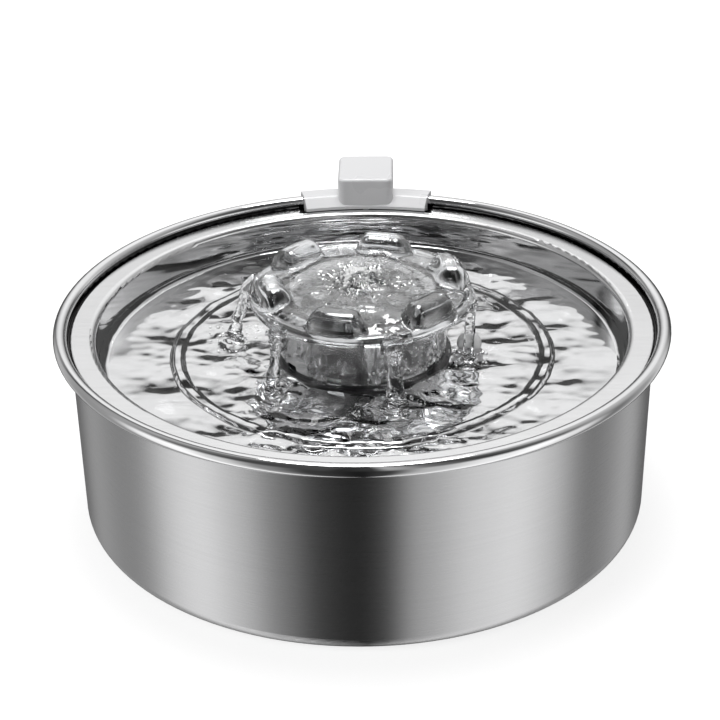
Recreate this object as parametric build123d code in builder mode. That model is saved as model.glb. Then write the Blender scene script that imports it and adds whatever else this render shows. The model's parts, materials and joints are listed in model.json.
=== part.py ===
from build123d import *
import math
import os

# Pet water fountain: a steel bowl, a drinking tray in its rim, and a pump in the middle that lifts
# the water through a riser to a petalled cap, from where it falls back into the tray.
# Millimetres. The origin is the middle of the bowl's flat base, +Z is up, and -Y is the front.

# ---- driving dimensions ----
# Bowl
rim_radius = 150.0            # to the outside of the rolled bead
bowl_height = 102.0           # to the top of the bead
bowl_sheet = 0.8
bead_radius = 3.3
curl_gap = 0.5                # between the curl's cut edge and the neck
neck_height = 7.0             # from the ledge to the top of the bead
ledge_width = 2.2
bowl_draft = 1.0              # how much wider the wall is at the top
bowl_corner = 7.0
ledge_bend = 0.3

# Tray
tray_sheet = 0.7
lip_clearance = 1.0           # between the tray's turned-down lip and the bowl's neck
lip_height = 1.8
flange_width = 12.4
tray_depth = 19.3             # from the flange to the floor
tray_draft = 0.8              # how much wider the wall is at the top
floor_corner = 4.5
rib_radius = 91.0
rib_width = 7.2
rib_height = 2.4
rib_bend = 1.4
lip_bend = 1.3
flange_bend = 3.0
well_radius = 36.0            # opening in the middle of the tray
well_lip = 2.2

# Saddle and block on the rim
saddle_half_width = 36.0
saddle_reach = 7.8            # from the bowl's neck in over the flange
saddle_edge = 1.8
saddle_lift = 0.2             # of its front edge above the flange
saddle_top = 1.6              # thickness over the bead
saddle_skirt = 6.2
saddle_wall = 1.6
saddle_shoulder = 2.2         # from the neck to where the saddle slopes down
saddle_front_bend = 3.0       # where the top turns down to the front
saddle_back_bend = 2.0        # where the top turns down behind the rim
saddle_round = 0.3            # on the saddle's small edges
saddle_rim_gap = 0.3
saddle_side_gap = 0.6         # to the notch in the tray
saddle_front_gap = 0.4
block_width = 30.4
block_setback = 0.2
block_length = 36.2
block_height = 15.5
block_wall = 1.4
block_corner = 4.0
block_edge = 1.6
tongue_thickness = 2.2
screw_spacing = 18.0
screw_radius = 1.25
screw_head_radius = 2.3
screw_head_height = 1.4
screw_tip_gap = 3.4           # between a screw's tip and the end of its bore
boss_radius = 2.8
socket_width = 9.2
socket_barrel = 1.3
socket_bore_radius = 2.85
socket_bore_depth = 10.0
socket_pin_radius = 1.0
socket_board_gap = 2.0        # between the saddle's skirt and the board behind the socket
lead_end_rise = 1.0           # where the pump's lead ends, above the bead

# Filter
ring_margin = 2.5             # of the ring that carries the box, beyond the pedestal that stands on it
ring_height = 1.8
box_lip = 2.1                 # how far the box hooks over the ring
box_lip_height = 1.0
box_wall = 1.4
box_clearance = 0.6
box_pump_gap = 2.2            # between the box and the pump below it
sleeve_wall = 1.2
sponge_height = 7.0           # the media's heights are loose ones: the lid presses them into the box
carbon_height = 11.7
cotton_height = 5.0
lid_height = 1.8
lid_recess = 0.4
slot_width = 3.0
slot_margin = 3.0
slot_count = 16

# Pedestal and cap
pedestal_radius = 41.5
pedestal_sheet = 0.8
pedestal_height = 29.7
pedestal_top_width = 4.5
pedestal_bend = 1.2
foot_slot_height = 4.0
foot_slot_width = 7.0
foot_slot_rise = 1.2          # above the foot's edge
foot_slot_count = 10
cap_radius = 54.6
cap_plate = 2.2
cap_rim_radius = 2.4
petal_count = 6
petal_phase = 16.0            # direction of the first petal from +X, in degrees
petal_margin = 1.1            # from a petal's side to the cap's edge
petal_radius = 9.0            # of the round that runs along a petal
petal_half_angle = 6.5        # from a petal's middle to where its round ends begin, in degrees
petal_rise = 11.6             # crest above the cap's plate
petal_wall = 1.8
spigot_height = 4.0
spigot_wall = 1.4
nozzle_bore_radius = 4.0
nozzle_wall = 2.0
nozzle_height = 2.8
riser_bore_radius = 5.2
riser_wall = 1.6
riser_end_gap = 1.0           # below the cap's plate
riser_engagement = 7.0        # how far the riser reaches into the cap's boss
riser_foot_gap = 1.0
socket_wall = 1.4
socket_length = 10.0

# Pump
pump_width = 48.0
pump_height = 40.0
pump_wall = 2.5
pump_corner = 5.0
foot_height = 7.2
foot_radius = 6.5
foot_stem_radius = 2.6
foot_neck_wall = 0.9          # around the stem
cup_height = 3.2
cup_wall = 1.2
cup_depth = 1.6
cup_crown_radius = 1.0
foot_spacing_x = 32.0
foot_spacing_y = 28.0
foot_hole_depth = 2.0
volute_radius = 16.5
volute_depth = 8.5
well_bore_radius = 8.3
well_length = 23.5
well_wall = 1.5
outlet_bore_radius = 5.0
outlet_wall = 3.0
outlet_length = 10.0
ring_section_radius = 0.75
cover_thickness = 3.0
locating_lip = 1.2
inlet_rib = 0.8               # between the boss and the windows
inlet_outer_radius = 10.0
window_count = 4
window_angle = 42.0
regulator_margin = 2.0
regulator_thickness = 1.6
regulator_tab = 4.0
regulator_tab_width = 4.0
volute_gap = 3.0              # around the impeller
vane_front_gap = 1.4
impeller_plate = 1.2
impeller_back_gap = 0.8
vane_count = 6
vane_thickness = 1.4
hub_wall = 2.1
shaft_radius = 1.5
shaft_end = 0.3               # left free at each end in its bush
shaft_chamfer = 0.2
magnet_gap = 0.9              # around the magnet in its well
magnet_end_gap = 1.8
magnet_bore_radius = 4.6
bush_front_radius = 3.0
bush_front_wall = 1.2
bush_rear_radius = 3.4
bush_length = 3.2
bush_floor = 0.6
core_back = 2.4
core_length = 16.0
pole_width = 5.0
pole_count = 4
pole_start = 45.0
shoe_thickness = 1.5
shoe_width = 9.0
coil_width = 10.0
coil_overhang = 2.0
board_thickness = 1.2
board_margin = 1.2
post_radius = 2.0
post_length = 3.6
chip_length = 6.0
chip_width = 5.0
chip_height = 1.0
chip_pitch = 12.0
chip_count = 3
back_cover_thickness = 1.8
lead_radius = 1.6
grommet_radius = 3.1
grommet_flange = 1.5
grommet_length = 6.0
grommet_taper = 8.0           # degrees
lead_rise = 10.0              # of the lead's exit above the pump's axis

# Clearances
running_gap = 0.05            # a shaft or a bore that turns
seat_gap = 0.05               # pieces that are pushed together
loose_gap = 0.3

# ---- heights and radii that follow ----
bead_center_r = rim_radius - bead_radius
bead_center_z = bowl_height - bead_radius
neck_inner_r = rim_radius - 2 * bead_radius
neck_outer_r = neck_inner_r + bowl_sheet
ledge_z = bowl_height - neck_height
bowl_wall_top_r = neck_inner_r - ledge_width + bowl_sheet

lip_outer_r = neck_inner_r - lip_clearance
flange_z = ledge_z + lip_height
flange_inner_r = lip_outer_r - flange_width
floor_z = flange_z - tray_depth
floor_r = flange_inner_r - tray_draft

ring_outer_r = pedestal_radius + ring_margin
ring_top_z = floor_z + ring_height
box_outer_r = well_radius - box_clearance
box_top_z = ring_top_z + box_lip_height
box_inner_r = box_outer_r - box_wall

pedestal_top_z = ring_top_z + pedestal_height
cap_plate_z = pedestal_top_z + cap_plate
petal_pitch_r = cap_radius - petal_margin - petal_radius
petal_center_z = cap_plate_z + petal_rise - petal_radius
riser_outer_r = riser_bore_radius + riser_wall
riser_top_z = pedestal_top_z - riser_end_gap
boss_bottom_z = riser_top_z - riser_engagement

pump_bottom_z = bowl_sheet + foot_height
pump_axis_z = pump_bottom_z + pump_height / 2
pump_top_z = pump_bottom_z + pump_height
pump_front_y = -volute_depth / 2
well_front_y = volute_depth / 2
well_back_y = well_front_y + well_length
well_end_y = well_back_y + bush_length + well_wall
partition_y = well_front_y + pump_wall
board_front_y = well_end_y + loose_gap
board_back_y = board_front_y + board_thickness
cover_inner_y = board_back_y + post_length
pump_back_y = cover_inner_y + back_cover_thickness
pump_length = pump_back_y - pump_front_y
well_outer_r = well_bore_radius + well_wall
cavity_half_x = pump_width / 2 - pump_wall
cavity_half_z = pump_height / 2 - pump_wall
outlet_outer_r = outlet_bore_radius + outlet_wall
ring_z = pump_top_z + outlet_length / 2
ring_major_r = outlet_outer_r + loose_gap + seat_gap - ring_section_radius
socket_inner_r = outlet_outer_r + loose_gap + 3 * seat_gap
socket_outer_r = socket_inner_r + socket_wall
sleeve_bore_r = socket_outer_r + box_clearance
sleeve_outer_r = sleeve_bore_r + sleeve_wall
box_floor_z = pump_top_z + box_pump_gap
media_bottom_z = box_floor_z + box_wall
lid_bottom_z = floor_z - lid_recess - lid_height
media_press = (lid_bottom_z - media_bottom_z) / (sponge_height + carbon_height + cotton_height)
cover_front_y = pump_front_y - cover_thickness

bead_top_z = bowl_height
saddle_top_z = bead_top_z + saddle_top
saddle_leg_r = neck_inner_r - saddle_rim_gap
saddle_skirt_r = rim_radius + saddle_rim_gap
saddle_back_r = saddle_skirt_r + saddle_wall
saddle_front_r = neck_inner_r - saddle_reach
saddle_front_z = flange_z + saddle_lift
saddle_front_top_z = saddle_front_z + saddle_edge
saddle_crest_r = neck_inner_r - saddle_shoulder
block_front = saddle_front_r + block_setback
block_back = block_front + block_length
block_bottom_z = saddle_front_top_z + block_setback
block_top_z = block_bottom_z + block_height
inner_top_z = block_top_z - block_wall
tongue_top_z = block_bottom_z + tongue_thickness
lead_y = block_front + block_wall + block_setback + lead_radius
lead_z = pump_axis_z + lead_rise
lead_end_z = bead_top_z + lead_end_rise
socket_board_y = saddle_back_r + socket_board_gap


def turn_left(before, corner, after):
    """Sine of the turn at a corner of a path: positive to the left."""
    ax, ay = corner[0] - before[0], corner[1] - before[1]
    bx, by = after[0] - corner[0], after[1] - corner[1]
    return (ax * by - ay * bx) / math.hypot(ax, ay) / math.hypot(bx, by)


def left_normal(start, end):
    """Unit vector to the left of the run from start to end."""
    dx, dy = end[0] - start[0], end[1] - start[1]
    length = math.hypot(dx, dy)
    return -dy / length, dx / length


def sheet_section(path, radii, thickness):
    """Face of a bent sheet: one side follows the path, the other lies thickness to its left."""
    normals = [left_normal(a, b) for a, b in zip(path, path[1:])]
    shifted = []
    for index, (x, y) in enumerate(path):
        first = normals[max(index - 1, 0)]
        second = normals[min(index, len(normals) - 1)]
        scale = thickness / (1 + first[0] * second[0] + first[1] * second[1])
        shifted.append((x + scale * (first[0] + second[0]), y + scale * (first[1] + second[1])))
    other_radii = []
    for index, radius in enumerate(radii):
        left = turn_left(*path[index:index + 3]) > 0
        other_radii.append(radius - thickness if left else radius + thickness)
    with BuildLine() as outline:
        near = FilletPolyline(*path, radius=radii)
        far = FilletPolyline(*shifted, radius=other_radii)
        Line(near @ 1, far @ 1)
        Line(near @ 0, far @ 0)
    make_face(outline.edges())


def ring_section(inner, outer, bottom, top):
    """Rectangular section of a ring around Z."""
    with Locations(((inner + outer) / 2, (bottom + top) / 2)):
        Rectangle(outer - inner, top - bottom)


def rod_plane(y, z=pump_axis_z, x=0.0):
    """Plane facing the back, so that what is extruded from it runs along +Y."""
    return Plane(origin=(x, y, z), x_dir=(-1, 0, 0), z_dir=(0, 1, 0))


def polar(radius, degrees):
    """Point at a distance and direction from the middle."""
    return radius * math.cos(math.radians(degrees)), radius * math.sin(math.radians(degrees))


def radial_plane(degrees):
    """Upright plane through the Z axis, with its X pointing outwards in this direction."""
    x, y = polar(1, degrees)
    return Plane(origin=(0, 0, 0), x_dir=(x, y, 0), z_dir=(y, -x, 0))


def finish(builder, name):
    """Labels a finished piece and writes it."""
    builder.part.label = name
    export_step(builder.part, f"parts/{name}.step")


os.makedirs("parts", exist_ok=True)

# ---- bowl ----
bowl_path = [
    (0, 0),
    (bowl_wall_top_r - bowl_draft, 0),
    (bowl_wall_top_r, ledge_z - bowl_sheet),
    (neck_outer_r, ledge_z - bowl_sheet),
    (neck_outer_r, bead_center_z),
]
bowl_bends = [bowl_corner, ledge_bend, ledge_bend + bowl_sheet]

with BuildPart() as bowl:
    with BuildSketch(Plane.XZ):
        sheet_section(bowl_path, bowl_bends, bowl_sheet)
        with Locations((bead_center_r, bead_center_z)):
            Circle(bead_radius)
            Circle(bead_radius - bowl_sheet, mode=Mode.SUBTRACT)
        with Locations((neck_outer_r + curl_gap / 2, bead_center_z - bead_radius / 2 - curl_gap)):
            Rectangle(curl_gap, bead_radius, mode=Mode.SUBTRACT)
    revolve(axis=Axis.Z)
finish(bowl, "bowl")

# ---- tray ----
tray_path = [
    (lip_outer_r, ledge_z),
    (lip_outer_r, flange_z),
    (flange_inner_r, flange_z),
    (floor_r, floor_z),
    (rib_radius + rib_width / 2, floor_z),
    (rib_radius + rib_width / 4, floor_z + rib_height),
    (rib_radius - rib_width / 4, floor_z + rib_height),
    (rib_radius - rib_width / 2, floor_z),
    (well_radius, floor_z),
    (well_radius, floor_z - well_lip),
]
rib_bends = [rib_bend - tray_sheet / 2, rib_bend, rib_bend, rib_bend - tray_sheet / 2]
tray_bends = [lip_bend, flange_bend, floor_corner, *rib_bends, lip_bend]
notch_radius = saddle_front_r - saddle_front_gap

with BuildPart() as tray:
    with BuildSketch(Plane.XZ):
        sheet_section(tray_path, tray_bends, tray_sheet)
    revolve(axis=Axis.Z)
    with BuildSketch(Plane.XY.offset(ledge_z - tray_sheet)):
        with Locations((0, rim_radius)):
            Rectangle(2 * (saddle_half_width + saddle_side_gap), rim_radius)
        Circle(notch_radius, mode=Mode.SUBTRACT)
    extrude(amount=neck_height, mode=Mode.SUBTRACT)
finish(tray, "tray")

# ---- filter box and what it holds ----
box_slot_length = box_inner_r - sleeve_outer_r - 2 * slot_margin
box_slot_radius = (box_inner_r + sleeve_outer_r) / 2

with BuildPart() as filter_box:
    with BuildSketch(Plane.XZ):
        ring_section(box_inner_r, box_outer_r, box_floor_z, box_top_z)
        ring_section(box_inner_r, box_outer_r + box_lip, ring_top_z, box_top_z)
        ring_section(sleeve_bore_r, box_outer_r, box_floor_z, box_floor_z + box_wall)
        ring_section(sleeve_bore_r, sleeve_outer_r, box_floor_z, floor_z)
    revolve(axis=Axis.Z)
    with BuildSketch(Plane.XY.offset(box_floor_z)):
        with PolarLocations(box_slot_radius, slot_count):
            SlotOverall(box_slot_length, slot_width)
    extrude(amount=box_wall, mode=Mode.SUBTRACT)
finish(filter_box, "filter_box")

with BuildPart() as filter_ring:
    with BuildSketch(Plane.XZ):
        ring_section(box_outer_r + seat_gap, ring_outer_r, floor_z, ring_top_z)
    revolve(axis=Axis.Z)
finish(filter_ring, "filter_ring")

layer_z = media_bottom_z
media = [("filter_sponge", sponge_height), ("carbon_bed", carbon_height), ("filter_cotton", cotton_height)]
for media_name, loose_height in media:
    layer_top_z = layer_z + loose_height * media_press
    with BuildPart() as medium:
        with BuildSketch(Plane.XZ):
            ring_section(sleeve_outer_r + loose_gap, box_inner_r - loose_gap, layer_z, layer_top_z)
        revolve(axis=Axis.Z)
    finish(medium, media_name)
    layer_z = layer_top_z

with BuildPart() as filter_lid:
    with BuildSketch(Plane.XY.offset(lid_bottom_z)):
        Circle(box_inner_r - loose_gap)
        Circle(sleeve_outer_r + loose_gap, mode=Mode.SUBTRACT)
        with PolarLocations(box_slot_radius, slot_count):
            SlotOverall(box_slot_length, slot_width, mode=Mode.SUBTRACT)
    extrude(amount=lid_height)
finish(filter_lid, "filter_lid")

# ---- pedestal ----
pedestal_path = [
    (pedestal_radius - pedestal_top_width, pedestal_top_z),
    (pedestal_radius, pedestal_top_z),
    (pedestal_radius, ring_top_z),
]

with BuildPart() as pedestal:
    with BuildSketch(Plane.XZ):
        with BuildLine():
            skin = FilletPolyline(*pedestal_path, radius=pedestal_bend)
            inner = FilletPolyline(
                (pedestal_radius - pedestal_top_width, pedestal_top_z - pedestal_sheet),
                (pedestal_radius - pedestal_sheet, pedestal_top_z - pedestal_sheet),
                (pedestal_radius - pedestal_sheet, ring_top_z),
                radius=pedestal_bend - pedestal_sheet,
            )
            Line(skin @ 0, inner @ 0)
            Line(skin @ 1, inner @ 1)
        make_face()
    revolve(axis=Axis.Z)
    with PolarLocations(pedestal_radius, foot_slot_count):
        with Locations((0, 0, ring_top_z + foot_slot_rise + foot_slot_height / 2)):
            Box(4 * pedestal_sheet, foot_slot_width, foot_slot_height, mode=Mode.SUBTRACT)
finish(pedestal, "pedestal")

# ---- cap ----
cap_rim_r = cap_radius - cap_rim_radius
cap_rim_z = (pedestal_top_z + cap_plate_z) / 2
spigot_outer_r = pedestal_radius - pedestal_top_width - loose_gap
spigot_inner_r = spigot_outer_r - spigot_wall
nozzle_outer_r = nozzle_bore_radius + nozzle_wall
boss_bore_r = riser_outer_r + seat_gap
boss_outer_r = boss_bore_r + spigot_wall


def domes(radius, foot_z):
    """Petals or their hollows: each a round that runs along the rim, with round ends."""
    length = petal_center_z - foot_z
    for index in range(petal_count):
        middle = petal_phase + index * 360 / petal_count
        ends = [polar(petal_pitch_r, middle + side * petal_half_angle) for side in (-1, 1)]
        for x, y in ends:
            with Locations((x, y, petal_center_z)):
                Sphere(radius)
            with Locations((x, y, foot_z)):
                Cylinder(radius, length, align=(Align.CENTER, Align.CENTER, Align.MIN))
        with BuildSketch(radial_plane(middle - petal_half_angle)) as arch:
            with Locations((petal_pitch_r, petal_center_z)):
                Circle(radius)
            with Locations((petal_pitch_r, foot_z + length / 2)):
                Rectangle(2 * radius, length)
        revolve(arch.sketch, axis=Axis.Z, revolution_arc=2 * petal_half_angle)
    split(bisect_by=Plane.XY.offset(foot_z), keep=Keep.TOP)


with BuildPart() as petals:
    domes(petal_radius, cap_rim_z)

with BuildPart() as petal_hollows:
    domes(petal_radius - petal_wall, pedestal_top_z)

with BuildPart() as fountain_cap:
    with BuildSketch(Plane.XZ):
        ring_section(nozzle_bore_radius, cap_rim_r, pedestal_top_z, cap_plate_z)
        with Locations((cap_rim_r, cap_rim_z)):
            Circle(cap_rim_radius)
        ring_section(nozzle_bore_radius, nozzle_outer_r, cap_plate_z, cap_plate_z + nozzle_height)
    revolve(axis=Axis.Z)
    add(petals.part)
    add(petal_hollows.part, mode=Mode.SUBTRACT)
    with BuildSketch(Plane.XZ):
        ring_section(spigot_inner_r, spigot_outer_r, pedestal_top_z - spigot_height, pedestal_top_z)
        ring_section(boss_bore_r, boss_outer_r, boss_bottom_z, pedestal_top_z)
    revolve(axis=Axis.Z)
finish(fountain_cap, "fountain_cap")

# ---- riser ----
riser_bottom_z = pump_top_z + riser_foot_gap
riser_shoulder_z = riser_bottom_z + socket_length

with BuildPart() as riser_tube:
    with BuildSketch(Plane.XZ):
        ring_section(socket_inner_r, socket_outer_r, riser_bottom_z, riser_shoulder_z)
        ring_section(riser_bore_radius, socket_outer_r, riser_shoulder_z, riser_shoulder_z + socket_wall)
        ring_section(riser_bore_radius, riser_outer_r, riser_shoulder_z, riser_top_z)
    revolve(axis=Axis.Z)
finish(riser_tube, "riser_tube")

with BuildPart() as riser_seal:
    with BuildSketch(Plane.XZ):
        with Locations((ring_major_r, ring_z)):
            Circle(ring_section_radius)
    revolve(axis=Axis.Z)
finish(riser_seal, "riser_seal")

# ---- pump housing ----
groove_half = ring_section_radius + seat_gap
groove_r = ring_major_r - ring_section_radius - seat_gap
foot_y = (pump_front_y + pump_back_y) / 2
impeller_r = volute_radius - volute_gap
outlet_root_z = pump_axis_z + impeller_r

with BuildPart() as pump_housing:
    with Locations((0, foot_y, pump_axis_z)):
        Box(pump_width, pump_length, pump_height)
    fillet(pump_housing.edges().filter_by(Axis.Y), radius=pump_corner)
    with BuildSketch(rod_plane(partition_y)):
        RectangleRounded(2 * cavity_half_x, 2 * cavity_half_z, pump_corner - pump_wall)
        Circle(well_outer_r, mode=Mode.SUBTRACT)
    extrude(amount=pump_length, mode=Mode.SUBTRACT)
    with BuildSketch(rod_plane(well_end_y)):
        Circle(well_outer_r)
    extrude(amount=pump_length, mode=Mode.SUBTRACT)
    with BuildSketch(rod_plane(pump_front_y)):
        Circle(volute_radius)
    extrude(amount=volute_depth, mode=Mode.SUBTRACT)
    with BuildSketch(rod_plane(well_front_y)):
        Circle(well_bore_radius)
    extrude(amount=well_length, mode=Mode.SUBTRACT)
    with BuildSketch(rod_plane(well_back_y)):
        Circle(bush_rear_radius)
    extrude(amount=bush_length, mode=Mode.SUBTRACT)
    with BuildSketch(Plane.XY.offset(pump_top_z)):
        Circle(outlet_outer_r)
    extrude(amount=outlet_length)
    with BuildSketch(Plane.XY.offset(outlet_root_z)):
        Circle(outlet_bore_radius)
    extrude(amount=pump_top_z + outlet_length - outlet_root_z, mode=Mode.SUBTRACT)
    with BuildSketch(Plane.XZ):
        ring_section(groove_r, socket_inner_r, ring_z - groove_half, ring_z + groove_half)
    revolve(axis=Axis.Z, mode=Mode.SUBTRACT)
    with BuildSketch(Plane.XY.offset(pump_bottom_z)):
        with Locations((0, foot_y)):
            with GridLocations(foot_spacing_x, foot_spacing_y, 2, 2):
                Circle(foot_stem_radius)
    extrude(amount=foot_hole_depth, mode=Mode.SUBTRACT)
finish(pump_housing, "pump_housing")

# ---- suction feet ----
neck_radius = foot_stem_radius + foot_neck_wall

with BuildPart() as pump_feet:
    with Locations((0, foot_y, bowl_sheet)):
        with GridLocations(foot_spacing_x, foot_spacing_y, 2, 2):
            Cone(foot_radius, neck_radius, cup_height, align=(Align.CENTER, Align.CENTER, Align.MIN))
            Cylinder(neck_radius, foot_height, align=(Align.CENTER, Align.CENTER, Align.MIN))
            Cylinder(
                foot_stem_radius - seat_gap,
                foot_height + foot_hole_depth - loose_gap,
                align=(Align.CENTER, Align.CENTER, Align.MIN),
            )
            Cone(
                foot_radius - cup_wall,
                cup_crown_radius,
                cup_depth,
                align=(Align.CENTER, Align.CENTER, Align.MIN),
                mode=Mode.SUBTRACT,
            )
finish(pump_feet, "pump_feet")

# ---- inlet cover and flow regulator ----
boss_front_r = bush_front_radius + bush_front_wall
inlet_inner_r = boss_front_r + inlet_rib
regulator_r = inlet_outer_radius + regulator_margin
bush_front_y = cover_front_y + bush_floor


def windows(mode):
    """Sector openings of the inlet, spaced evenly."""
    half = window_angle / 2
    for index in range(window_count):
        middle = index * 360 / window_count
        inner_low, inner_high = [polar(inlet_inner_r, middle + side * half) for side in (-1, 1)]
        outer_low, outer_high = [polar(inlet_outer_radius, middle + side * half) for side in (-1, 1)]
        with BuildLine() as outline:
            ThreePointArc(outer_low, polar(inlet_outer_radius, middle), outer_high)
            Line(outer_high, inner_high)
            ThreePointArc(inner_high, polar(inlet_inner_r, middle), inner_low)
            Line(inner_low, outer_low)
        make_face(outline.edges(), mode=mode)


with BuildPart() as pump_inlet_cover:
    with BuildSketch(rod_plane(cover_front_y)):
        RectangleRounded(pump_width, pump_height, pump_corner)
    extrude(amount=cover_thickness)
    with BuildSketch(rod_plane(pump_front_y)):
        Circle(volute_radius - seat_gap)
        Circle(volute_radius - locating_lip, mode=Mode.SUBTRACT)
    extrude(amount=locating_lip)
    with BuildSketch(rod_plane(cover_front_y)):
        windows(Mode.ADD)
    extrude(amount=cover_thickness, mode=Mode.SUBTRACT)
    with BuildSketch(rod_plane(cover_front_y - regulator_thickness - loose_gap)):
        Circle(boss_front_r)
    extrude(amount=regulator_thickness + loose_gap)
    with BuildSketch(rod_plane(bush_front_y)):
        Circle(bush_front_radius)
    extrude(amount=cover_thickness, mode=Mode.SUBTRACT)
finish(pump_inlet_cover, "pump_inlet_cover")

with BuildPart() as flow_regulator:
    with BuildSketch(rod_plane(cover_front_y - regulator_thickness - seat_gap)):
        Circle(regulator_r)
        with Locations((0, regulator_r)):
            RectangleRounded(regulator_tab_width, 2 * regulator_tab, regulator_tab_width / 4)
        Circle(boss_front_r + running_gap, mode=Mode.SUBTRACT)
        windows(Mode.SUBTRACT)
    extrude(amount=regulator_thickness)
finish(flow_regulator, "flow_regulator")

# ---- rotor ----
vane_front_y = pump_front_y + vane_front_gap
plate_front_y = well_front_y - impeller_back_gap - impeller_plate
magnet_front_y = well_front_y
magnet_back_y = well_back_y - magnet_end_gap
magnet_r = well_bore_radius - magnet_gap
hub_r = shaft_radius + hub_wall
shaft_front_y = bush_front_y + shaft_end
shaft_back_y = well_back_y + bush_length - shaft_end

with BuildPart() as impeller:
    with BuildSketch(rod_plane(plate_front_y)):
        Circle(impeller_r)
    extrude(amount=impeller_plate)
    with BuildSketch(rod_plane(vane_front_y)):
        Circle(hub_r)
        with PolarLocations(impeller_r / 2, vane_count):
            Rectangle(impeller_r, vane_thickness)
    extrude(amount=plate_front_y - vane_front_y)
    with BuildSketch(rod_plane(plate_front_y)):
        Circle(magnet_bore_radius - seat_gap)
    extrude(amount=magnet_back_y - plate_front_y)
    with BuildSketch(rod_plane(vane_front_y)):
        Circle(shaft_radius + running_gap)
    extrude(amount=pump_length, mode=Mode.SUBTRACT)
finish(impeller, "impeller")

with BuildPart() as rotor_magnet:
    with BuildSketch(rod_plane(magnet_front_y)):
        Circle(magnet_r)
        Circle(magnet_bore_radius, mode=Mode.SUBTRACT)
    extrude(amount=magnet_back_y - magnet_front_y)
finish(rotor_magnet, "rotor_magnet")

with BuildPart() as rotor_shaft:
    with BuildSketch(rod_plane(shaft_front_y)):
        Circle(shaft_radius)
    extrude(amount=shaft_back_y - shaft_front_y)
    chamfer(rotor_shaft.edges(), length=shaft_chamfer)
finish(rotor_shaft, "rotor_shaft")

bushes = [
    ("shaft_bush_front", bush_front_radius, bush_front_y, bush_length),
    ("shaft_bush_rear", bush_rear_radius, well_back_y, bush_length),
]
for bush_name, bush_radius, bush_y, length in bushes:
    with BuildPart() as bush:
        with BuildSketch(rod_plane(bush_y)):
            Circle(bush_radius - seat_gap)
            Circle(shaft_radius + seat_gap / 2, mode=Mode.SUBTRACT)
        extrude(amount=length)
    finish(bush, bush_name)

# ---- stator ----
core_front_y = partition_y + coil_overhang + loose_gap
core_r = cavity_half_z - loose_gap
core_inner_r = core_r - core_back
shoe_inner_r = well_outer_r + loose_gap
shoe_outer_r = shoe_inner_r + shoe_thickness
coil_inner_r = shoe_outer_r + loose_gap
coil_outer_r = math.sqrt((core_inner_r - loose_gap) ** 2 - (coil_width / 2) ** 2)

with BuildPart() as stator_core:
    with BuildSketch(rod_plane(core_front_y)):
        Circle(core_r)
        Circle(core_inner_r, mode=Mode.SUBTRACT)
        with PolarLocations(core_inner_r / 2, pole_count, start_angle=pole_start):
            Rectangle(core_inner_r + core_back, pole_width)
        with PolarLocations(shoe_outer_r / 2, pole_count, start_angle=pole_start):
            Rectangle(shoe_outer_r, shoe_width)
        Circle(shoe_inner_r, mode=Mode.SUBTRACT)
    extrude(amount=core_length)
finish(stator_core, "stator_core")

with BuildPart() as stator_coils:
    with Locations(rod_plane(core_front_y + core_length / 2)):
        with PolarLocations((coil_inner_r + coil_outer_r) / 2, pole_count, start_angle=pole_start):
            Box(coil_outer_r - coil_inner_r, coil_width, core_length + 2 * coil_overhang)
            Box(
                coil_outer_r - coil_inner_r,
                pole_width + 2 * seat_gap,
                core_length + 2 * seat_gap,
                mode=Mode.SUBTRACT,
            )
finish(stator_coils, "stator_coils")

# ---- driver board, back cover and lead grommet ----
board_half_x = cavity_half_x - board_margin
board_half_z = cavity_half_z - board_margin

with BuildPart() as driver_board:
    with BuildSketch(rod_plane(board_front_y)):
        Rectangle(2 * board_half_x, 2 * board_half_z)
    extrude(amount=board_thickness)
    with BuildSketch(rod_plane(board_back_y)):
        with Locations((0, -board_half_z / 2)):
            with GridLocations(chip_pitch, 1, chip_count, 1):
                Rectangle(chip_length, chip_width)
    extrude(amount=chip_height)
finish(driver_board, "driver_board")

with BuildPart() as pump_back_cover:
    with BuildSketch(rod_plane(cover_inner_y)):
        RectangleRounded(
            2 * (cavity_half_x - seat_gap), 2 * (cavity_half_z - seat_gap), pump_corner - pump_wall - seat_gap
        )
    extrude(amount=back_cover_thickness)
    with BuildSketch(rod_plane(board_back_y)):
        with GridLocations(2 * (board_half_x - post_radius), 2 * (board_half_z - post_radius), 2, 2):
            Circle(post_radius)
    extrude(amount=post_length)
    with BuildSketch(rod_plane(cover_inner_y, z=lead_z)):
        Circle(grommet_radius)
    extrude(amount=back_cover_thickness, mode=Mode.SUBTRACT)
finish(pump_back_cover, "pump_back_cover")

with BuildPart() as lead_grommet:
    with BuildSketch(rod_plane(cover_inner_y, z=lead_z)):
        Circle(grommet_radius - seat_gap)
    extrude(amount=back_cover_thickness)
    with BuildSketch(rod_plane(pump_back_y, z=lead_z)):
        Circle(grommet_radius + grommet_flange)
    extrude(amount=grommet_flange)
    with BuildSketch(rod_plane(pump_back_y, z=lead_z)):
        Circle(grommet_radius - seat_gap)
    extrude(amount=grommet_length, taper=grommet_taper)
    with BuildSketch(rod_plane(cover_inner_y, z=lead_z)):
        Circle(lead_radius + seat_gap)
    extrude(amount=pump_length, mode=Mode.SUBTRACT)
finish(lead_grommet, "lead_grommet")

# ---- leads ----
lead_points = [
    (0, cover_inner_y, lead_z),
    (0, 60, lead_z),
    (6, 79, 29),
    (11, 97, 14),
    (8, 116, 13),
    (3, 130, 25),
    (0, 137.2, 43),
    (0, lead_y, 73),
    (0, lead_y, lead_end_z),
]
socket_lead_points = [
    (0, lead_y, lead_end_z),
    (0, lead_y, lead_end_z + 4.4),
    (0, lead_y + 3.4, lead_end_z + 6.8),
    (0, socket_board_y, lead_end_z + 6.8),
]


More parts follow.
